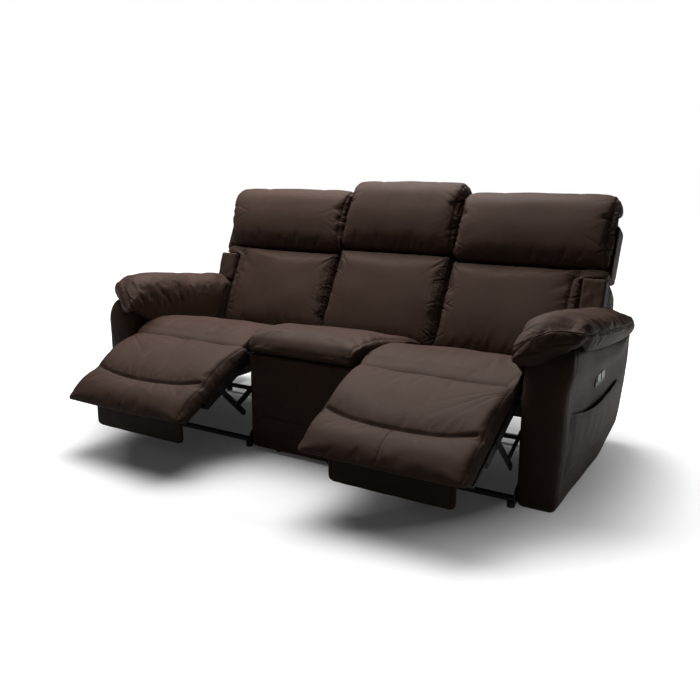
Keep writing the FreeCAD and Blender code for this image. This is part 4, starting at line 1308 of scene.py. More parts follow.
@dataclass
class Footrest:
    """Padded footrest of one end seat: one cover from the seat's nose to the rounded toe end."""

    side: Side
    inner: float = 0.254
    outer: float = 0.848
    start: float = -0.006
    end: float = 0.446
    smile: float = 0.304
    sag: float = 0.050
    chin: float = 0.398

    def seam_place(self, across: Array) -> Array:
        """Distance out to the curved seam: furthest in the middle, nearer the seat at both ends."""
        return self.smile - self.sag * np.abs(across) ** 2.6

    def pad(self, maker: Upholsterer) -> None:
        """Makes the padded cover: a full panel that rolls down to the curved seam, then the toe roll.
        """
        length = self.end - self.start
        shares, quads = unit_block((self.outer - self.inner, length, 0.062), 0.020, 0.0075)
        out = self.start + length * (1 - shares[:, 1])
        across = 2 * shares[:, 0] - 1
        line = self.seam_place(across)
        chord = 0.045 + 0.032 * np.clip(out / line, 0, 1)
        seat_side = chord + 0.019 * np.sin(np.pi * np.clip(out / line, 0, 1) ** 0.85) ** 0.8
        roll = 0.004 * np.clip(1 - (line - out) / 0.020, 0, 1) ** 2 * (out < line)
        toe_share = np.clip((out - line) / (self.end - line), 0, 1)
        toe_side = (
            0.073 + 0.008 * np.sin(np.pi * np.clip(toe_share * 1.15, 0, 1))
            - 0.016 * toe_share**2.5
        )
        top = np.where(out < line, seat_side - roll, toe_side)
        sides = 1 - 0.12 * ramp(np.abs(across), 0.88, 1.0)
        undercut = np.clip((out - self.chin) / (self.end - self.chin), 0, 1) * 0.036
        floor = 0.001 + undercut
        up = floor + (top * sides - floor) * shares[:, 2]
        narrow = 1 - 0.018 * ramp(out, 0.40, 0.446) ** 2
        x = (self.inner + self.outer) / 2 + across * (self.outer - self.inner) / 2 * narrow
        bow = 0.004 * (1 - np.abs(across) ** 2.5) * ramp(out, 0.36, 0.446)
        local = np.stack([x, -out - bow, up], axis=1)
        verts, quads = mirrored(FOOTREST.place(local), quads, self.side)
        shell = Shell(verts, quads, shares.copy())
        near_seam = np.exp(-(((out - line) / 0.012) ** 2)) * ramp(shares[:, 2], 0.5, 0.9)
        held = np.maximum.reduce(
            [1 - ramp(shares[:, 2], 0.08, 0.35), near_seam, 1 - ramp(out - self.start, 0.0, 0.02)]
        )
        Stuffing(cap=0.008, pressure=3.0, slack=0.01).swell(shell, held)

        def details(rest: Array) -> Details:
            """Curved seam, short middle seam on the toe roll, side seams, creases from the outer corner."""
            span = self.outer - self.inner
            reach = self.start + length * (1 - rest[:, 1])
            sideways = 2 * rest[:, 0] - 1
            gap = reach - self.seam_place(sideways)
            high = ramp(rest[:, 2], 0.55, 0.8)
            edge = np.minimum(rest[:, 0], 1 - rest[:, 0]) * span
            toe = ramp(gap, 0.0, 0.006) * (1 - ramp(reach, 0.440, 0.446))
            seams = [
                Seam(
                    gap, rest[:, 0] * span, 0.0045, 0.007, Stitch.PLAIN, high * ramp(edge, 0.004, 0.03)
                ),
                Seam((rest[:, 0] - 0.5) * span, reach, 0.0020, 0.005, Stitch.TOPSTITCHED, high * toe),
                Seam(edge - 0.010, reach, 0.0016, 0.005, Stitch.PLAIN, high),
                Seam(reach - self.start - 0.004, rest[:, 0] * span, 0.003, 0.006, Stitch.PLAIN, high),
            ]
            seed = 51 if self.side is Side.RIGHT else 67
            corner = np.hypot(edge + 0.02, reach - 0.02)
            bearing = np.arctan2(reach - 0.02, edge + 0.02)
            rays = np.where(rest[:, 0] > 0.5, 1.0, 0.0) * high
            puckers = [
                Puckers(gap, rest[:, 0] * span, 0.016, 0.030, 0.0012, seed, 0.3, high * toe),
                Puckers(edge, reach, 0.020, 0.026, 0.0014, seed + 1, 0.4, high),
                Puckers(
                    corner - 0.04, bearing * 0.16, 0.16, 0.040, 0.0022, seed + 2, 0.0,
                    rays * ramp(corner, 0.03, 0.07),
                ),
            ]
            broad = 0.0014 * waves(rest * np.array([span, length, 0.0]), 0.15, seed + 5) * high
            return seams, puckers, broad

        word = self.side.word
        obj = maker.sew(f"footrest_cover_{word}", shell, details)
        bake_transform(obj)
        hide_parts(f"chaise_pad_{word}", f"toe_pad_{word}")

    def flap(self, maker: Upholsterer) -> None:
        """Makes the covered board that hangs under the footrest, with round lower corners.
        """
        word = self.side.word
        low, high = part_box(f"flipper_{word}")
        bottom, top, middle_y = low.z, high.z, (low.y + high.y) / 2 + FRONT
        middle_x, half = (low.x + high.x) / 2, 0.2275
        tall, thick = top - bottom, 0.0145
        shares, quads = unit_block((2 * half, thick, tall), 0.006, 0.006)
        across = 2 * shares[:, 0] - 1
        drop = 1 - shares[:, 2]
        sideways = np.clip((np.abs(across) * half - (half - 0.020)) / 0.020, 0, 1)
        lift = (0.020 - 0.020 * np.sqrt(np.clip(1 - sideways**2, 0, 1))) * ramp(drop, 0.55, 1.0)
        swell = (
            0.0016 * (1 - np.abs(across) ** 6) * np.sin(np.pi * shares[:, 2])
            * (2 * shares[:, 1] - 1)
        )
        verts = np.stack(
            [
                middle_x + across * half, middle_y + (shares[:, 1] - 0.5) * thick + swell,
                bottom + tall * shares[:, 2] + lift,
            ],
            axis=1,
        )
        shell = Shell(verts, quads, shares.copy())

        def details(rest: Array) -> Details:
            """A seam along each end of the board and slight waves."""
            edge = (1 - np.abs(2 * rest[:, 0] - 1)) * half
            seams = [Seam(edge - 0.014, rest[:, 2] * tall, 0.001, 0.004, Stitch.TOPSTITCHED)]
            return seams, [], 0.0005 * waves(rest * np.array([2 * half, 0.0, tall]), 0.07, 71)

        # The flap takes the darker copy of the leather: painted shade for the board that hangs under the
        # footrest.
        obj = maker.sew(f"flap_cover_{word}", shell, details, material=maker.flat_leather)
        maker.declare(obj, f"flipper_{word}", [f"flipper_{word}"])

    def build(self, maker: Upholsterer) -> None:
        """Makes the padded cover and the flap."""
        self.pad(maker)
        self.flap(maker)


@dataclass
class Backrest:
    """One back: lumbar pad, head pillow and the leather shell round the frame.

    Attributes:
        word: left, right or middle.
        low: smallest x of the pads, on the right side.
        high: largest x of the pads.
        crease: height of the crease above the pivot, along the back.
        top: height of the pillow's top above the pivot, along the back.
        seed: number that picks the creases.
    """

    word: str
    low: float
    high: float
    crease: float
    top: float
    seed: int

    @property
    def side(self) -> Side:
        """The side whose signs the back takes; the middle counts as right."""
        return Side.LEFT if self.word == "left" else Side.RIGHT

    @property
    def body(self) -> str:
        """The body that the back rides on."""
        return "base" if self.word == "middle" else f"back_{self.word}"

    def shape(self, local: Array, quads: Array, shares: Array) -> Shell:
        """Places a right-hand local shape on this back."""
        verts, faces = mirrored(BACK.place(local), quads, self.side)
        return Shell(verts, faces, shares.copy())

    def lumbar(self, maker: Upholsterer) -> None:
        """Makes the lower pad: deepest at mid height, thin at the crease, with a side roll on end backs.
        """
        ends = self.word != "middle"
        bottom, top = -0.006, self.crease
        low, high = self.low, self.high
        shares, quads = unit_block((high - low, 0.095, top - bottom), 0.017, 0.0075)
        up = bottom + (top - bottom) * shares[:, 2]
        across = 2 * shares[:, 0] - 1
        depth_front = spline(
            np.array(
                [[0.0, 0.034], [0.12, 0.041], [0.35, 0.046], [0.65, 0.040], [0.88, 0.028], [1.0, 0.018]]
            ),
            shares[:, 2],
        )[:, 1]
        depth_front = depth_front * (1 - 0.30 * np.abs(across) ** 5)
        back = 0.058
        y = back - (back + depth_front) * (1 - shares[:, 1])
        lip = 0.016 * ramp(y, -0.008, 0.018) - 0.012 * (1 - ramp(y, -0.030, -0.008))
        up = up + lip * (1 - ramp(shares[:, 2], 0.0, 0.25))
        x = low + (high - low) * shares[:, 0]
        if ends:
            x = x + 0.088 * ramp(up, 0.336, 0.345) * ramp(shares[:, 0], 0.90, 1.0)
        local = np.stack([x, y, up], axis=1)
        shell = self.shape(local, quads, shares)
        rolls = np.exp(-(((shares[:, 0] - 0.93) / 0.010) ** 2)) * (shares[:, 1] < 0.4) * ends
        held = np.maximum.reduce(
            [ramp(shares[:, 1], 0.6, 0.85), rolls, 1 - ramp(shares[:, 2], 0.0, 0.03)]
        )
        Stuffing(cap=0.010, slack=0.015).swell(shell, held)
        width, tall = high - low, top - bottom

        def details(rest: Array) -> Details:
            """Seams down both sides with creases, and on end backs the seam of the side roll."""
            rise = rest[:, 2] * tall
            face = 1 - ramp(rest[:, 1], 0.45, 0.65)
            edge = np.minimum(rest[:, 0], 1 - rest[:, 0]) * width
            seams = [Seam(edge - 0.006, rise, 0.002, 0.005, Stitch.PLAIN, face)]
            puckers = [
                Puckers(edge, rise, 0.038, 0.0165, 0.0054, self.seed, 0.45, face),
                Puckers(
                    (1 - rest[:, 2]) * tall, rest[:, 0] * width, 0.022, 0.040, 0.0020, self.seed + 1,
                    0.3, face,
                ),
            ]
            if ends:
                lift = ramp(rise, 0.02, 0.06)
                seams.append(
                    Seam((rest[:, 0] - 0.93) * width, rise, 0.0045, 0.007, Stitch.PLAIN, face * lift)
                )
                puckers.append(
                    Puckers(
                        np.abs(rest[:, 0] - 0.93) * width, rise, 0.030, 0.018, 0.0030, self.seed + 7,
                        0.3, face * lift,
                    )
                )
                puckers.append(
                    Puckers(
                        np.hypot((rest[:, 0] - 0.92) * width, rise - tall),
                        np.arctan2(tall - rise, (rest[:, 0] - 0.92) * width + 1e-6) * 0.05, 0.05, 0.014,
                        0.0036, self.seed + 3, 0.0, face * ramp(rest[:, 0], 0.88, 0.94),
                    )
                )
            broad = 0.0009 * waves(rest * np.array([width, 0.0, tall]), 0.17, self.seed + 5) * face
            return seams, puckers, broad

        obj = maker.sew(f"lumbar_cover_{self.word}", shell, details)
        maker.declare(obj, self.body, [f"lumbar_pad_{self.word}"])

    def pillow(self, maker: Upholsterer) -> None:
        """Makes the head pillow: full in front, rolled over the top, resting on the frame.
        """
        ends = self.word != "middle"
        low, high = self.low, self.high + (0.080 if ends else 0.0)
        spread = 0.032 if self.side is Side.LEFT else 0.0
        bottom, top = self.crease + 0.001, self.top
        shares, quads = unit_block((high - low, 0.16, top - bottom), 0.030, 0.008)
        s, t = shares[:, 1], shares[:, 2]
        lift = top - bottom
        front = [
            (-0.016, bottom), (-0.036, bottom + 0.10 * lift), (-0.051, bottom + 0.32 * lift),
            (-0.053, bottom + 0.60 * lift), (-0.037, bottom + 0.85 * lift), (-0.008, top - 0.008),
        ]
        rear = [
            (0.058, bottom), (0.058, bottom + 0.5 * lift), (0.060, top - 0.075), (0.100, top - 0.068),
            (0.112, top - 0.052), (0.100, top - 0.028),
        ]
        low_edge = [(-0.016, bottom), (0.020, bottom), (0.058, bottom)]
        high_edge = [(-0.008, top - 0.008), (0.020, top + 0.002), (0.060, top), (0.100, top - 0.028)]
        yz = fill_outline(s, t, low_edge, high_edge, front, rear)
        across = 2 * shares[:, 0] - 1
        thin = 1 - 0.20 * np.abs(across) ** 6
        y = np.where(yz[:, 0] < 0.03, 0.03 + (yz[:, 0] - 0.03) * thin, yz[:, 0])
        z = yz[:, 1] - 0.012 * np.abs(across) ** 8 * ramp(t, 0.6, 1.0)
        x = (
            low + (high - low) * shares[:, 0]
            + spread * ramp(t, 0.0, 0.8) * ramp(shares[:, 0], 0.75, 1.0)
        )
        shell = self.shape(np.stack([x, y, z], axis=1), quads, shares)
        held = np.maximum(ramp(s, 0.62, 0.85) * (1 - ramp(t, 0.75, 0.9)), 1 - ramp(t, 0.0, 0.05))
        Stuffing(cap=0.010, slack=0.015).swell(shell, held)
        width = high - low

        def details(rest: Array) -> Details:
            """Side seams with long creases, and small creases along the crease at the pillow's foot."""
            rise = rest[:, 2] * lift
            face = 1 - ramp(rest[:, 1], 0.5, 0.7)
            edge = np.minimum(rest[:, 0], 1 - rest[:, 0]) * width
            strong = np.where(rest[:, 0] > 0.5, 1.0, 0.75)
            seams = [Seam(edge - 0.012, rise, 0.004, 0.007, Stitch.PLAIN, face)]
            puckers = [
                Puckers(edge, rise, 0.038, 0.0165, 0.0058, self.seed + 11, 0.5, face * strong),
                Puckers(edge, rise, 0.065, 0.041, 0.0030, self.seed + 13, 0.5, face * strong),
                Puckers(rise, rest[:, 0] * width, 0.026, 0.045, 0.0016, self.seed + 12, 0.3, face),
            ]
            broad = 0.0009 * waves(rest * np.array([width, 0.0, lift]), 0.19, self.seed + 15) * face
            return seams, puckers, broad

        obj = maker.sew(f"pillow_cover_{self.word}", shell, details)
        maker.declare(obj, self.body, [f"head_pillow_{self.word}"])

    def shell_cover(self, maker: Upholsterer) -> None:
        """Makes the leather shell over the frame's rear and sides, wider above the arms on end backs.
        """
        ends = self.word != "middle"
        node_low, node_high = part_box(f"back_frame_{self.word}")
        low = min(abs(node_low.x), abs(node_high.x)) if ends else -abs(node_low.x) - 0.010
        high = max(abs(node_low.x), abs(node_high.x)) if ends else abs(node_high.x) + 0.010
        bottom = 0.018 if ends else -0.048
        top = self.top - 0.046
        shares, quads = unit_block((high - low, 0.075, top - bottom), 0.014, 0.0122)
        up = bottom + (top - bottom) * shares[:, 2]
        across = 2 * shares[:, 0] - 1
        x = low + (high - low) * shares[:, 0]
        if ends:
            reach = 0.112 if self.side is Side.LEFT else 0.094
            flare = reach * ramp(up, 0.348, 0.358) * (1 - 0.30 * ramp(up, 0.56, 0.64))
            x = x + flare * ramp(shares[:, 0], 0.84, 1.0)
        crown = (
            0.010 * (1 - np.abs(across) ** 3) * np.sin(np.pi * shares[:, 2]) ** 0.5
            * ramp(shares[:, 1], 0.4, 1.0)
        )
        wrap = 0.062 * ramp(x, 0.936, 0.952) * ramp(up, 0.350, 0.375) if ends else 0.0
        y = 0.0585 - wrap + (0.068 + wrap) * shares[:, 1] + crown
        round_top = 0.030 * ramp(np.abs(across), 0.90, 1.0) ** 2 * ramp(shares[:, 2], 0.85, 1.0)
        shell = self.shape(np.stack([x, y, up - round_top], axis=1), quads, shares)
        width, tall = high - low, top - bottom

        def details(rest: Array) -> Details:
            """Seams down both rear edges, one across near the bottom, soft waves between."""
            rise = rest[:, 2] * tall
            face = ramp(rest[:, 1], 0.6, 0.9)
            edge = np.minimum(rest[:, 0], 1 - rest[:, 0]) * width
            seams = [
                Seam(edge - 0.022, rise, 0.0028, 0.006, Stitch.TOPSTITCHED, face),
                Seam(
                    rise - 0.10, rest[:, 0] * width, 0.0026, 0.006, Stitch.TOPSTITCHED,
                    face * ramp(edge, 0.02, 0.03),
                ),
            ]
            puckers = [
                Puckers(edge, rise, 0.03, 0.05, 0.0016, self.seed + 21, 0.3, face),
                Puckers(tall - rise, rest[:, 0] * width, 0.04, 0.05, 0.0018, self.seed + 22, 0.3, face),
            ]
            return (
                seams, puckers, 0.0016 * waves(rest * np.array([width, 0.0, tall]), 0.2, self.seed + 25)
                * face
            )

        obj = maker.sew(f"back_shell_{self.word}", shell, details)
        maker.declare(obj, self.body, [f"back_cover_{self.word}"])

    def build(self, maker: Upholsterer) -> None:
        """Makes the back's three pieces.
        """
        self.lumbar(maker)
        self.pillow(maker)
        self.shell_cover(maker)


@dataclass(frozen=True)
class PadTable:
    """Measured sizes of the right arm's pillow, at stations from front to rear."""

    stations: Array
    inner: Array
    hem: Array
    crown: Array
    welt_x: Array
    welt_z: Array
    low: Array
    front_x: Array
    front_y: Array
    front_welt: Array
    front_ring: Array

    def sections(self, y: Array) -> Array:
        """Control points of the closed section at each y: points by x and z by row.

        Args:
            y: depth of each point.

        Returns:
            Points of each section, x and z by row.
        """
        inner, hem, crown, edge_x, edge_z, low = (
            np.interp(y, self.stations, numbers)
            for numbers in (self.inner, self.hem, self.crown, self.welt_x, self.welt_z, self.low)
        )
        deck = np.minimum(0.550, crown - 0.035)
        points = [
            (inner + 0.006, hem),
            (inner, hem + 0.030),
            (inner - 0.004, (hem + crown) / 2 + 0.018),
            (inner + 0.012, crown - 0.030),
            (inner + 0.050, crown - 0.004),
            ((inner + edge_x) / 2 + 0.004, crown),
            (edge_x - 0.050, crown - 0.012),
            (edge_x - 0.016, (crown + edge_z) / 2 + 0.004),
            (edge_x, edge_z),
            (edge_x - 0.002, edge_z * 0.55 + low * 0.45),
            (edge_x - 0.020, low + 0.006),
            (edge_x - 0.044, low + 0.020),
            (0.940 + 0 * y, deck),
            (inner + 0.034, deck - 0.004),
            (inner + 0.026, hem + 0.020),
            (inner + 0.018, hem),
        ]
        return np.array([[sx, sz] for sx, sz in points])


PAD = PadTable(
    stations=np.array([-0.022, 0.030, 0.080, 0.150, 0.250, 0.370, 0.500, 0.560, 0.620, 0.720, 0.820]),
    inner=np.array([0.838, 0.838, 0.838, 0.838, 0.838, 0.840, 0.843, 0.848, 0.868, 0.869, 0.872]),
    hem=np.array([0.505, 0.475, 0.448, 0.432, 0.414, 0.396, 0.380, 0.420, 0.480, 0.470, 0.460]),
    crown=np.array([0.600, 0.628, 0.640, 0.641, 0.630, 0.614, 0.599, 0.592, 0.585, 0.570, 0.545]),
    welt_x=np.array([1.034, 1.037, 1.041, 1.044, 1.046, 1.046, 1.046, 1.046, 1.046, 1.045, 1.040]),
    welt_z=np.array([0.600, 0.602, 0.600, 0.588, 0.572, 0.555, 0.540, 0.533, 0.526, 0.514, 0.500]),
    low=np.array([0.545, 0.545, 0.536, 0.520, 0.505, 0.488, 0.474, 0.468, 0.462, 0.452, 0.445]),
    front_x=np.array([0.838, 0.855, 0.874, 0.909, 0.929, 0.961, 0.996, 1.034]),
    front_y=np.array([-0.022, -0.020, -0.015, 0.000, 0.015, 0.035, 0.055, 0.078]),
    front_welt=np.array([0.515, 0.546, 0.570, 0.593, 0.602, 0.608, 0.606, 0.600]),
    front_ring=np.array(
        [
            (0.846, 0.503),
            (0.838, 0.512),
            (0.843, 0.530),
            (0.860, 0.553),
            (0.892, 0.583),
            (0.940, 0.605),
            (0.985, 0.607),
            (1.016, 0.603),
            (1.036, 0.598),
            (1.037, 0.578),
            (1.026, 0.553),
            (0.990, 0.535),
            (0.945, 0.510),
            (0.905, 0.497),
            (0.880, 0.495),
            (0.860, 0.498),
        ]
    ),
)


@dataclass
class Arm:
    """One arm: padded side, pillow top with its welt, and the slanted side pocket."""

    side: Side
    inner: float = ARM_INNER
    low_outer: float = 1.000
    plate_x: float = 1.0118

    def outer_face(self, y: Array, z: Array) -> Array:
        """x of the outer side: slightly proud from a third of the height, fullest just below the pad.

        Args:
            y: depth of each point.
            z: height of each point.

        Returns:
            x at each point.
        """
        proud = 0.0125 * ramp(z, 0.03, 0.28) + 0.013 * np.exp(-(((z - 0.475) / 0.055) ** 2))
        body = self.low_outer + proud
        switch = np.exp(-(((y - 0.43) / 0.085) ** 4)) * np.exp(-(((z - 0.38) / 0.045) ** 4))
        return body * (1 - switch) + np.minimum(body, self.plate_x) * switch

    def outline(self, shares: Array) -> Array:
        """Fills the side outline: flat sole, heel rising to the rear, sloping shoulder, round front top.

        Args:
            shares: shares of each point across the block.

        Returns:
            Rows of y and z.
        """
        front = [
            (0.000, 0.008), (-0.003, 0.15), (-0.005, 0.30), (-0.002, 0.41), (0.008, 0.470),
            (0.026, 0.512), (0.055, 0.540),
        ]
        top = [
            (0.055, 0.540), (0.12, 0.552), (0.30, 0.552), (0.50, 0.548), (0.66, 0.536), (0.76, 0.512),
            (0.835, 0.476), (0.880, 0.440),
        ]
        rear = [
            (0.835, 0.086), (0.880, 0.150), (0.897, 0.215), (0.904, 0.300), (0.922, 0.349),
            (0.922, 0.388), (0.880, 0.440),
        ]
        bottom = [
            (0.000, 0.008), (0.20, 0.010), (0.40, 0.012), (0.555, 0.017), (0.705, 0.044), (0.835, 0.086)
        ]
        return fill_outline(shares[:, 1], shares[:, 2], bottom, top, front, rear)

    def body(self, maker: Upholsterer) -> None:
        """Makes the arm's padded side with the double row of stitches down its front outer edge.
        """
        shares, quads = unit_block((0.150, 0.92, 0.54), 0.026, 0.0102)
        yz = self.outline(shares)
        outer = self.outer_face(yz[:, 0], yz[:, 1])
        across = shares[:, 0]
        x = self.inner + 0.001 + (outer - self.inner - 0.001) * across
        pillow = (
            -0.011 * np.sin(np.pi * across) * (1 - ramp(shares[:, 1], 0.0, 0.03))
            * ramp(yz[:, 1], 0.02, 0.12)
        )
        crest = np.interp(yz[:, 0], [0.0, 0.55, 0.66, 0.76, 0.88], [0.552, 0.546, 0.536, 0.512, 0.440])
        drop = np.maximum(crest - np.interp(yz[:, 0], PAD.stations, PAD.low) - 0.008, 0.0)
        tucked = yz[:, 1] - drop * ramp(yz[:, 1] / crest, 0.55, 1.0) * ramp(across, 0.80, 0.99)
        verts = np.stack([x, yz[:, 0] + pillow, tucked], axis=1)
        verts, quads = mirrored(verts, quads, self.side)
        shell = Shell(verts, quads, np.stack([across, yz[:, 0], tucked], axis=1))

        def details(rest: Array) -> Details:
            """A double-stitched seam near the front outer edge, one on the inner edge, soft waves."""
            y, z = rest[:, 1], rest[:, 2]
            outside = ramp(rest[:, 0], 0.80, 0.97)
            bend = 0.020 + 0.10 * np.clip((z - 0.40) / 0.15, 0, 1.2) ** 2
            facing = (1 - ramp(rest[:, 0], 0.02, 0.2)) * (1 - ramp(y, 0.03, 0.06))
            seams = [
                Seam(y - bend, z, 0.0018, 0.004, Stitch.DOUBLE, outside),
                Seam(rest[:, 0] * 0.13 - 0.012, z, 0.0012, 0.004, Stitch.PLAIN, facing),
            ]
            side = outside * ramp(y, 0.03, 0.12)
            seed = 81 if self.side is Side.RIGHT else 91
            puckers = [
                Puckers(
                    np.maximum(0.56 - z, 0.0), y, 0.035, 0.05, 0.0022, seed, 0.3,
                    side * ramp(z, 0.44, 0.50),
                ),
                Puckers(y - bend, z, 0.028, 0.06, 0.0014, seed + 1, 0.2, outside),
            ]
            broad = 0.0016 * waves(np.stack([y, z], axis=1), 0.24, seed + 4) * side * (
                1 - np.exp(-(((y - 0.43) / 0.1) ** 2 + ((z - 0.38) / 0.06) ** 2))
            )
            return seams, puckers, broad

        obj = maker.sew(f"arm_cover_{self.side.word}", shell, details)
        maker.declare(obj, "base", [f"arm_upholstery_{self.side.word}"])

    def welt(self) -> Array:
        """The welt's path: from the inner front corner over the front, then back along the outer side.

        Returns:
            Points along the welt.
        """
        stations = PAD.stations
        front = np.stack([PAD.front_x, PAD.front_y, PAD.front_welt], axis=1)
        side = np.stack([PAD.welt_x, stations, PAD.welt_z], axis=1)[3:]
        tail = np.array([[1.034, PAD.stations[-1] + 0.020, PAD.welt_z[-1] - 0.006]])
        path = np.concatenate([front, side, tail])
        return spline(path, np.linspace(0.0, 1.0, 200))

    def pad(self, maker: Upholsterer) -> None:
        """Makes the pillow top: sections across the arm whose inner side hangs down to the seat.

        A row is a closed curve in x and z, blended from the front outline to the full section by a
        quarter ellipse. Before the first row and after the last, rows shrink onto a middle line, so
        both ends close in a domed face.
        """
        columns = 120
        shares = np.linspace(0.0, 1.0, columns, endpoint=False)
        y = (
            PAD.stations[0]
            + (PAD.stations[-1] - PAD.stations[0])
            * (0.5 - 0.5 * np.cos(np.pi * np.linspace(0, 1, 104))) ** 0.95
        )
        body = PAD.sections(y)
        front = np.broadcast_to(PAD.front_ring[:, :, None], body.shape)
        growth = np.sqrt(1 - (1 - np.clip((y - y[0]) / 0.090, 0, 1)) ** 2)
        rings = front * (1 - growth) + body * growth
        loops = np.stack([self.closed(rings[:, :, row], shares) for row in range(len(y))])
        slant = np.interp(loops[:, :, 0], PAD.front_x, PAD.front_y) - y[0]
        lean = (1 - ramp(y, -0.02, 0.20))[:, None]
        rear = ramp(y, 0.70, 0.82)[:, None] * 0.022 * ramp(loops[:, :, 0], 0.94, 1.04)
        depth = y[:, None] + slant * lean + rear
        cloud = np.stack([loops[:, :, 0], depth, loops[:, :, 1]], axis=2)
        count = 9
        heights = np.sin(np.linspace(0.08, math.pi / 2, count, endpoint=False))
        first = np.stack([self.shrunk(cloud[0], h, -0.016) for h in heights])
        last = np.stack([self.shrunk(cloud[-1], h, 0.014) for h in heights[::-1]])
        cloud = np.concatenate([first, cloud, last])
        rows = len(cloud)
        quads = tube_quads(rows, columns)
        rest = cloud.reshape(-1, 3)
        verts, quads = mirrored(rest.copy(), quads, self.side)
        shell = Shell(verts, quads, rest)
        if np.einsum("ij,ij->i", shell.normals, shell.verts - shell.verts.mean(axis=0)).mean() < 0:
            shell.quads = shell.quads[:, ::-1]
        path = self.welt()
        to_welt = np.linalg.norm(rest[:, None, :] - path[None, ::4, :], axis=2).min(axis=1)
        held = np.maximum(1 - ramp(rest[:, 2], 0.50, 0.56), 1 - ramp(to_welt, 0.004, 0.014))
        Stuffing(cap=0.006, slack=0.03).swell(shell, held)
        lengths = np.concatenate([[0.0], np.cumsum(np.linalg.norm(np.diff(path, axis=0), axis=1))])

        def details(start: Array) -> Details:
            """The welt's seam, creases that run in from it, and upright folds on the inner side."""
            nearest = np.empty(len(start), int)
            distance = np.empty(len(start))
            for part in np.array_split(np.arange(len(start)), 24):
                gaps = np.linalg.norm(start[part, None, :] - path[None, :, :], axis=2)
                nearest[part], distance[part] = gaps.argmin(axis=1), gaps.min(axis=1)
            place = lengths[nearest]
            upper = ramp(start[:, 2] - path[nearest, 2], -0.002, 0.008)
            seed = 101 if self.side is Side.RIGHT else 117
            inside = (1 - ramp(start[:, 0], 0.846, 0.872)) * ramp(start[:, 2], 0.43, 0.50)
            frontal = 1 - 0.75 * ramp(place, 0.24, 0.42)
            seams = [Seam(distance, place, 0.0030, 0.005, Stitch.TOPSTITCHED)]
            puckers = [
                Puckers(
                    distance, place, 0.034, 0.022, 0.0030, seed, 0.5,
                    upper * frontal * ramp(place, 0.02, 0.08),
                ),
                Puckers(
                    np.abs(start[:, 2] - 0.545), start[:, 1], 0.045, 0.024, 0.0042, seed + 2, 0.12,
                    inside * np.exp(-(((start[:, 1] - 0.26) / 0.13) ** 2)),
                ),
                Puckers(distance, place, 0.020, 0.030, 0.0014, seed + 4, 0.3, 1 - upper),
            ]
            broad = 0.0022 * waves(start[:, :2], 0.15, seed + 6) * ramp(start[:, 2], 0.54, 0.58)
            return seams, puckers, broad

        obj = maker.sew(f"arm_pillow_{self.side.word}", shell, details)
        maker.declare(obj, "base", [f"arm_pad_{self.side.word}"])
        self.piping(maker, path)

    @staticmethod
    def shrunk(ring: Array, height: float, dome: float) -> Array:
        """Draws one ring in towards its middle line, and moves it out by the dome's ellipse.

        Args:
            ring: rows of x, y and z round the ring.
            height: share of the ring's height that is left.
            dome: how far the middle line stands out along y.

        Returns:
            The smaller ring.
        """
        spots = np.linspace(ring[:, 0].min(), ring[:, 0].max(), 24)
        near = np.abs(ring[None, :, 0] - spots[:, None]) < 0.016
        middle = np.array([(ring[row, 2].min() + ring[row, 2].max()) / 2 for row in near])
        line = np.interp(ring[:, 0], spots, middle)
        centre = (ring[:, 0].min() + ring[:, 0].max()) / 2
        away = math.sqrt(1 - height**2)
        return np.stack(
            [
                centre + (ring[:, 0] - centre) * (1 - 0.10 * away),
                ring[:, 1] + dome * away,
                line + (ring[:, 2] - line) * height,
            ],
            axis=1,
        )

    def root(self, maker: Upholsterer) -> None:
        """Makes the padded root between pillow top and back: its top is an arc round the back's pivot.
        """
        shares, quads = unit_block((0.090, 0.17, 0.12), 0.009, 0.006)
        bottom = [(0.655, 0.560), (0.74, 0.532), (0.80, 0.510), (0.868, 0.484)]
        front = [(0.655, 0.560), (0.676, 0.620), (0.700, 0.688)]
        rear = [(0.868, 0.484), (0.862, 0.545), (0.848, 0.594)]
        turns = np.radians([17.2, 26.0, 34.0, 42.0, 47.3])
        top = [(0.600 + 0.3425 * math.sin(a), 0.365 + 0.3425 * math.cos(a)) for a in turns]
        yz = fill_outline(shares[:, 1], shares[:, 2], bottom, top, front, rear)
        x = 0.8600 + 0.0915 * shares[:, 0]
        verts, quads = mirrored(np.stack([x, yz[:, 0], yz[:, 1]], axis=1), quads, self.side)
        shell = Shell(verts, quads, shares.copy())

        def details(rest: Array) -> Details:
            """A seam that carries on the line behind the back's pads, and creases beside it."""
            place = (rest[:, 1] - 0.42) * 0.17
            side = ramp(rest[:, 0], 0.5, 0.9)
            seed = 161 if self.side is Side.RIGHT else 171
            seams = [Seam(place, rest[:, 2] * 0.12, 0.003, 0.006, Stitch.TOPSTITCHED, side)]
            puckers = [Puckers(np.abs(place), rest[:, 2] * 0.12, 0.03, 0.017, 0.0026, seed, 0.4, side)]
            return seams, puckers, 0.001 * waves(rest * 0.12, 0.05, seed + 1)

        obj = maker.sew(f"wing_root_{self.side.word}", shell, details)
        maker.declare(obj, "base", [])

    @staticmethod
    def closed(ring: Array, shares: Array) -> Array:
        """Reads a closed smooth curve (Catmull-Rom) through the ring's points at even steps.

        Args:
            ring: points round the ring.
            shares: shares of each point across the block.

        Returns:
            Points of the curve.
        """
        points = ring[:-1]
        count = len(points)
        spot = shares * count
        index = spot.astype(int) % count
        t = (spot - spot.astype(int))[:, None]
        a, b, c, d = (points[(index + shift) % count] for shift in (-1, 0, 1, 2))
        return 0.5 * (
            2 * b + (c - a) * t + (2 * a - 5 * b + 4 * c - d) * t**2 + (3 * b - a - 3 * c + d) * t**3
        )

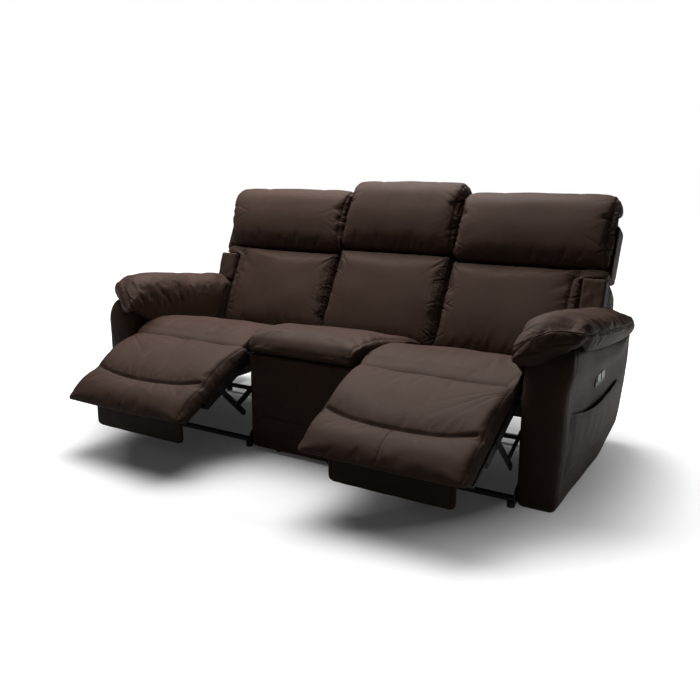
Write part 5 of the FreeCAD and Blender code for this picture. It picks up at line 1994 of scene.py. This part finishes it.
    def piping(self, maker: Upholsterer, path: Array) -> None:
        """Makes the welt: a round cord of leather along the pillow's edge, as a tube about the path.

        Args:
            path: points along the welt.
        """
        rows = spline(path[::5], np.linspace(0.0, 1.0, 420))
        tangent = np.gradient(rows, axis=0)
        tangent /= np.linalg.norm(tangent, axis=1, keepdims=True)
        side = np.cross(tangent, np.array([0.0, 0.0, 1.0]))
        side /= np.linalg.norm(side, axis=1, keepdims=True)
        up = np.cross(side, tangent)
        taper = 0.0021 * np.sqrt(
            np.clip(np.sin(np.pi * np.linspace(0.004, 0.996, len(rows))) * 14, 0.05, 1)
        )
        angles = np.linspace(0, 2 * math.pi, 10, endpoint=False)
        verts = (
            rows[:, None, :]
            + taper[:, None, None] * np.cos(angles)[None, :, None] * side[:, None, :]
            + taper[:, None, None] * np.sin(angles)[None, :, None] * up[:, None, :]
        ).reshape(-1, 3)
        quads = tube_quads(len(rows), 10)
        verts, quads = mirrored(verts, quads, self.side)
        shell = Shell(verts, quads, verts.copy())

        def plain(start: Array) -> Details:
            """No seams on the welt itself."""
            return [], [], np.zeros(1)

        obj = maker.sew(f"arm_welt_{self.side.word}", shell, plain, refine=0)
        maker.declare(obj, "base", [])

    def pocket(self, maker: Upholsterer) -> None:
        """Makes the pocket: a panel laid on the arm's side whose slanted mouth stands open a little.
        """
        shares, quads = unit_block((0.0032, 0.66, 0.235), 0.0014, 0.0075)
        v, w = shares[:, 1], shares[:, 2]
        y = 0.078 + 0.664 * v
        rim = np.array([[0.0, 0.336], [0.12, 0.318], [0.38, 0.291], [0.7, 0.288], [1.0, 0.296]])
        mouth = spline(rim, v)[:, 1]
        floor = 0.100 + 0.012 * np.abs(2 * v - 1) ** 4
        z = floor + (mouth - floor) * w
        frame = np.clip(np.minimum(np.minimum(v, 1 - v) * 0.66 / 0.05, w * 0.235 / 0.045), 0, 1)
        frame = frame * frame * (3 - 2 * frame)
        gape = 0.0075 * np.sin(np.pi * v) ** 0.8 * ramp(w, 0.25, 1.0)
        base = self.outer_face(y, z) - 0.0030
        x = base + 0.0030 * shares[:, 0] + 0.0045 * frame + gape * frame
        verts, quads = mirrored(np.stack([x, y, z], axis=1), quads, self.side)
        shell = Shell(verts, quads, shares.copy())

        def details(rest: Array) -> Details:
            """A double row of stitches along the hem, and soft waves."""
            outside = ramp(rest[:, 0], 0.5, 0.9)
            hem = (1 - rest[:, 2]) * 0.235 - 0.014
            side = np.minimum(rest[:, 1], 1 - rest[:, 1]) * 0.62 - 0.006
            seams = [
                Seam(
                    hem, rest[:, 1] * 0.62, 0.0008, 0.003, Stitch.DOUBLE,
                    outside * ramp(side, 0.0, 0.03),
                ),
            ]
            return seams, [], 0.0009 * waves(rest * np.array([0.0, 0.62, 0.235]), 0.12, 131)

        obj = maker.sew(f"pocket_cover_{self.side.word}", shell, details, refine=0)
        maker.declare(obj, "base", [f"side_pocket_{self.side.word}"])

    def build(self, maker: Upholsterer) -> None:
        """Makes the arm's pieces.
        """
        self.body(maker)
        self.pad(maker)
        self.root(maker)
        self.pocket(maker)


# Rigid parts and room


@dataclass
class Hardware:
    """Gives every rigid solid of the frame its finish."""

    nodes: dict[str, bpy.types.Object]
    kit: GroupKit

    def dress(self) -> None:
        """Chooses a finish by the start of each node's name."""
        steel = PaintedSteel().build(self.kit)
        rod = BareMetal("drawn_rod", (0.55, 0.55, 0.56), (0.16, 0.3))
        wire = BareMetal("spring_wire", (0.34, 0.34, 0.35))
        plate = BareMetal("dark_plate", (0.085, 0.080, 0.075), (0.42, 0.52), (1.0, 1.0, 30.0))
        button = Moulded("button_plastic", (0.016, 0.016, 0.017), (0.06, 0.06, 0.06), (0.25, 0.4))
        motor = Moulded("motor_plastic", (0.022, 0.022, 0.024), (0.09, 0.09, 0.09))
        glide = Moulded("glide_plastic", (0.014, 0.014, 0.015), (0.08, 0.08, 0.08))
        board = Timber("stained_board", (0.030, 0.024, 0.020), (0.016, 0.012, 0.010))
        case = Timber("stained_case", (0.034, 0.026, 0.021), (0.018, 0.013, 0.011))
        rails = Timber("stained_rails", (0.060, 0.043, 0.030), (0.034, 0.024, 0.017))
        rules = {
            "side_plates": steel,
            "cross_tubes": steel,
            "footrest_carrier": steel,
            "lower_links": steel,
            "upper_links": steel,
            "back_brackets": steel,
            "drive_rod": rod.build(self.kit),
            "seat_springs": wire.build(self.kit),
            "switch_plate": plate.build(self.kit),
            "open_button": button.build(self.kit),
            "drive_motor": motor.build(self.kit),
            "glides": glide.build(self.kit),
            "footrest_board": board.build(self.kit),
            "middle_base": case.build(self.kit),
            "seat_frame": rails.build(self.kit),
        }
        rules["close_button"] = rules["open_button"]
        rules["back_frame"] = rules["arm_frame"] = rules["seat_frame"]
        for name, obj in self.nodes.items():
            found = [material for start, material in rules.items() if name.startswith(start)]
            if found:
                obj.data.materials.clear()
                obj.data.materials.append(found[0])
                LOG.info("%s: %s", name, found[0].name)


@dataclass
class Studio:
    """Floor, lamps, world and camera."""

    eye: tuple[float, float, float] = (1.6105, -2.5849, 1.10)
    forward: tuple[float, float, float] = (-0.50403, 0.83191, -0.23214)
    upward: tuple[float, float, float] = (-0.12029, 0.19855, 0.97268)
    lens: float = 39.22

    def floor(self) -> None:
        """Lays a wide flat floor, as one sheet."""
        u, v = np.meshgrid(np.linspace(-14, 14, 33), np.linspace(-12, 16, 33), indexing="ij")
        z = 0.0 * u
        verts = np.stack([u.ravel(), v.ravel(), z.ravel()], axis=1)
        number = np.arange(u.size).reshape(u.shape)
        quads = np.stack(
            [
                number[:-1, :-1].ravel(), number[1:, :-1].ravel(), number[1:, 1:].ravel(),
                number[:-1, 1:].ravel(),
            ], axis=1
        )
        mesh = bpy.data.meshes.new("floor")
        mesh.from_pydata(verts.tolist(), [], quads.tolist())
        mesh.materials.append(FloorPaint().build())
        obj = bpy.data.objects.new("floor", mesh)
        bpy.context.scene.collection.objects.link(obj)

    def lamp(
        self,
        name: str,
        place: tuple[float, float, float],
        target: tuple[float, float, float],
        size: tuple[float, float],
        power: float,
    ) -> None:
        """Hangs one rectangular lamp that looks at a target.

        Args:
            name: name of the new data.
            place: where the lamp hangs.
            target: the point that it faces.
            size: width and depth of the lamp.
            power: its power in watts.
        """
        data = bpy.data.lights.new(name, "AREA")
        data.shape = "RECTANGLE"
        data.size, data.size_y = size
        data.energy = power
        obj = bpy.data.objects.new(name, data)
        direction = Vector(target) - Vector(place)
        obj.matrix_world = Matrix.Translation(place) @ direction.to_track_quat("-Z", "Y").to_matrix().to_4x4()
        bpy.context.scene.collection.objects.link(obj)

    def light(self) -> None:
        """Sets a pale world and soft lamps, the strongest above."""
        world = bpy.data.worlds.new("studio")
        world.use_nodes = True
        w = Wiring(world.node_tree)
        background = world.node_tree.nodes["Background"]
        path = w.add("ShaderNodeLightPath")
        strength = w.add("ShaderNodeMapRange")
        w.join(path.outputs["Is Camera Ray"], strength.inputs["Value"])
        strength.inputs["To Min"].default_value = 0.04
        strength.inputs["To Max"].default_value = 1.0
        w.join(strength.outputs["Result"], background.inputs["Strength"])
        background.inputs["Color"].default_value = (1.0, 1.0, 1.0, 1.0)
        bpy.context.scene.world = world
        self.lamp("top_light", (-0.75, 0.75, 3.2), (-0.1, 0.05, 0.3), (3.2, 2.2), 190.0)
        self.lamp("front_light", (1.2, -3.6, 2.3), (0.0, 0.0, 0.5), (3.0, 1.6), 3.0)
        self.lamp("rear_light", (-1.6, 3.6, 2.6), (0.0, 0.2, 0.6), (3.0, 1.6), 8.0)

    def camera(self) -> None:
        """Puts the camera where the photograph was taken from."""
        data = bpy.data.cameras.new("camera")
        data.lens = self.lens
        data.sensor_width = 36.0
        data.clip_end = 60.0
        obj = bpy.data.objects.new("camera", data)
        forward, up = Vector(self.forward).normalized(), Vector(self.upward).normalized()
        right = forward.cross(up).normalized()
        up = right.cross(forward)
        turn = Matrix((right, up, -forward)).transposed().to_4x4()
        obj.matrix_world = Matrix.Translation(self.eye) @ turn
        bpy.context.scene.collection.objects.link(obj)
        bpy.context.scene.camera = obj

    def build(self) -> None:
        """Makes the room."""
        self.camera()
        self.floor()
        self.light()
        bpy.context.scene.view_settings.view_transform = "Standard"


def main() -> None:
    """Loads the frame, makes the room, gives the frame its finishes and makes every piece."""
    logging.basicConfig(level=logging.INFO, format="%(message)s")
    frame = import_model()
    kit = GroupKit.build()
    # The flap leather is the main leather painted about half as dark, as shade under the footrests, with
    # shallower grain.
    flat = Leather("flap_leather", (0.030, 0.020, 0.0165), (0.040, 0.027, 0.022), depth=0.00015)
    maker = Upholsterer(Leather().build(kit), flat.build(kit))
    Studio().build()
    Hardware(frame["nodes"], kit).dress()
    MiddleSeat().build(maker)
    for side in Side:
        SeatCushion(side).build(maker)
        Footrest(side).build(maker)
        Arm(side).build(maker)
    Backrest("left", 0.286, 0.858, 0.385, 0.705, 201).build(maker)
    Backrest("right", 0.286, 0.858, 0.385, 0.705, 301).build(maker)
    Backrest("middle", -0.283, 0.283, 0.408, 0.751, 401).build(maker)


if __name__ == "__main__":
    main()
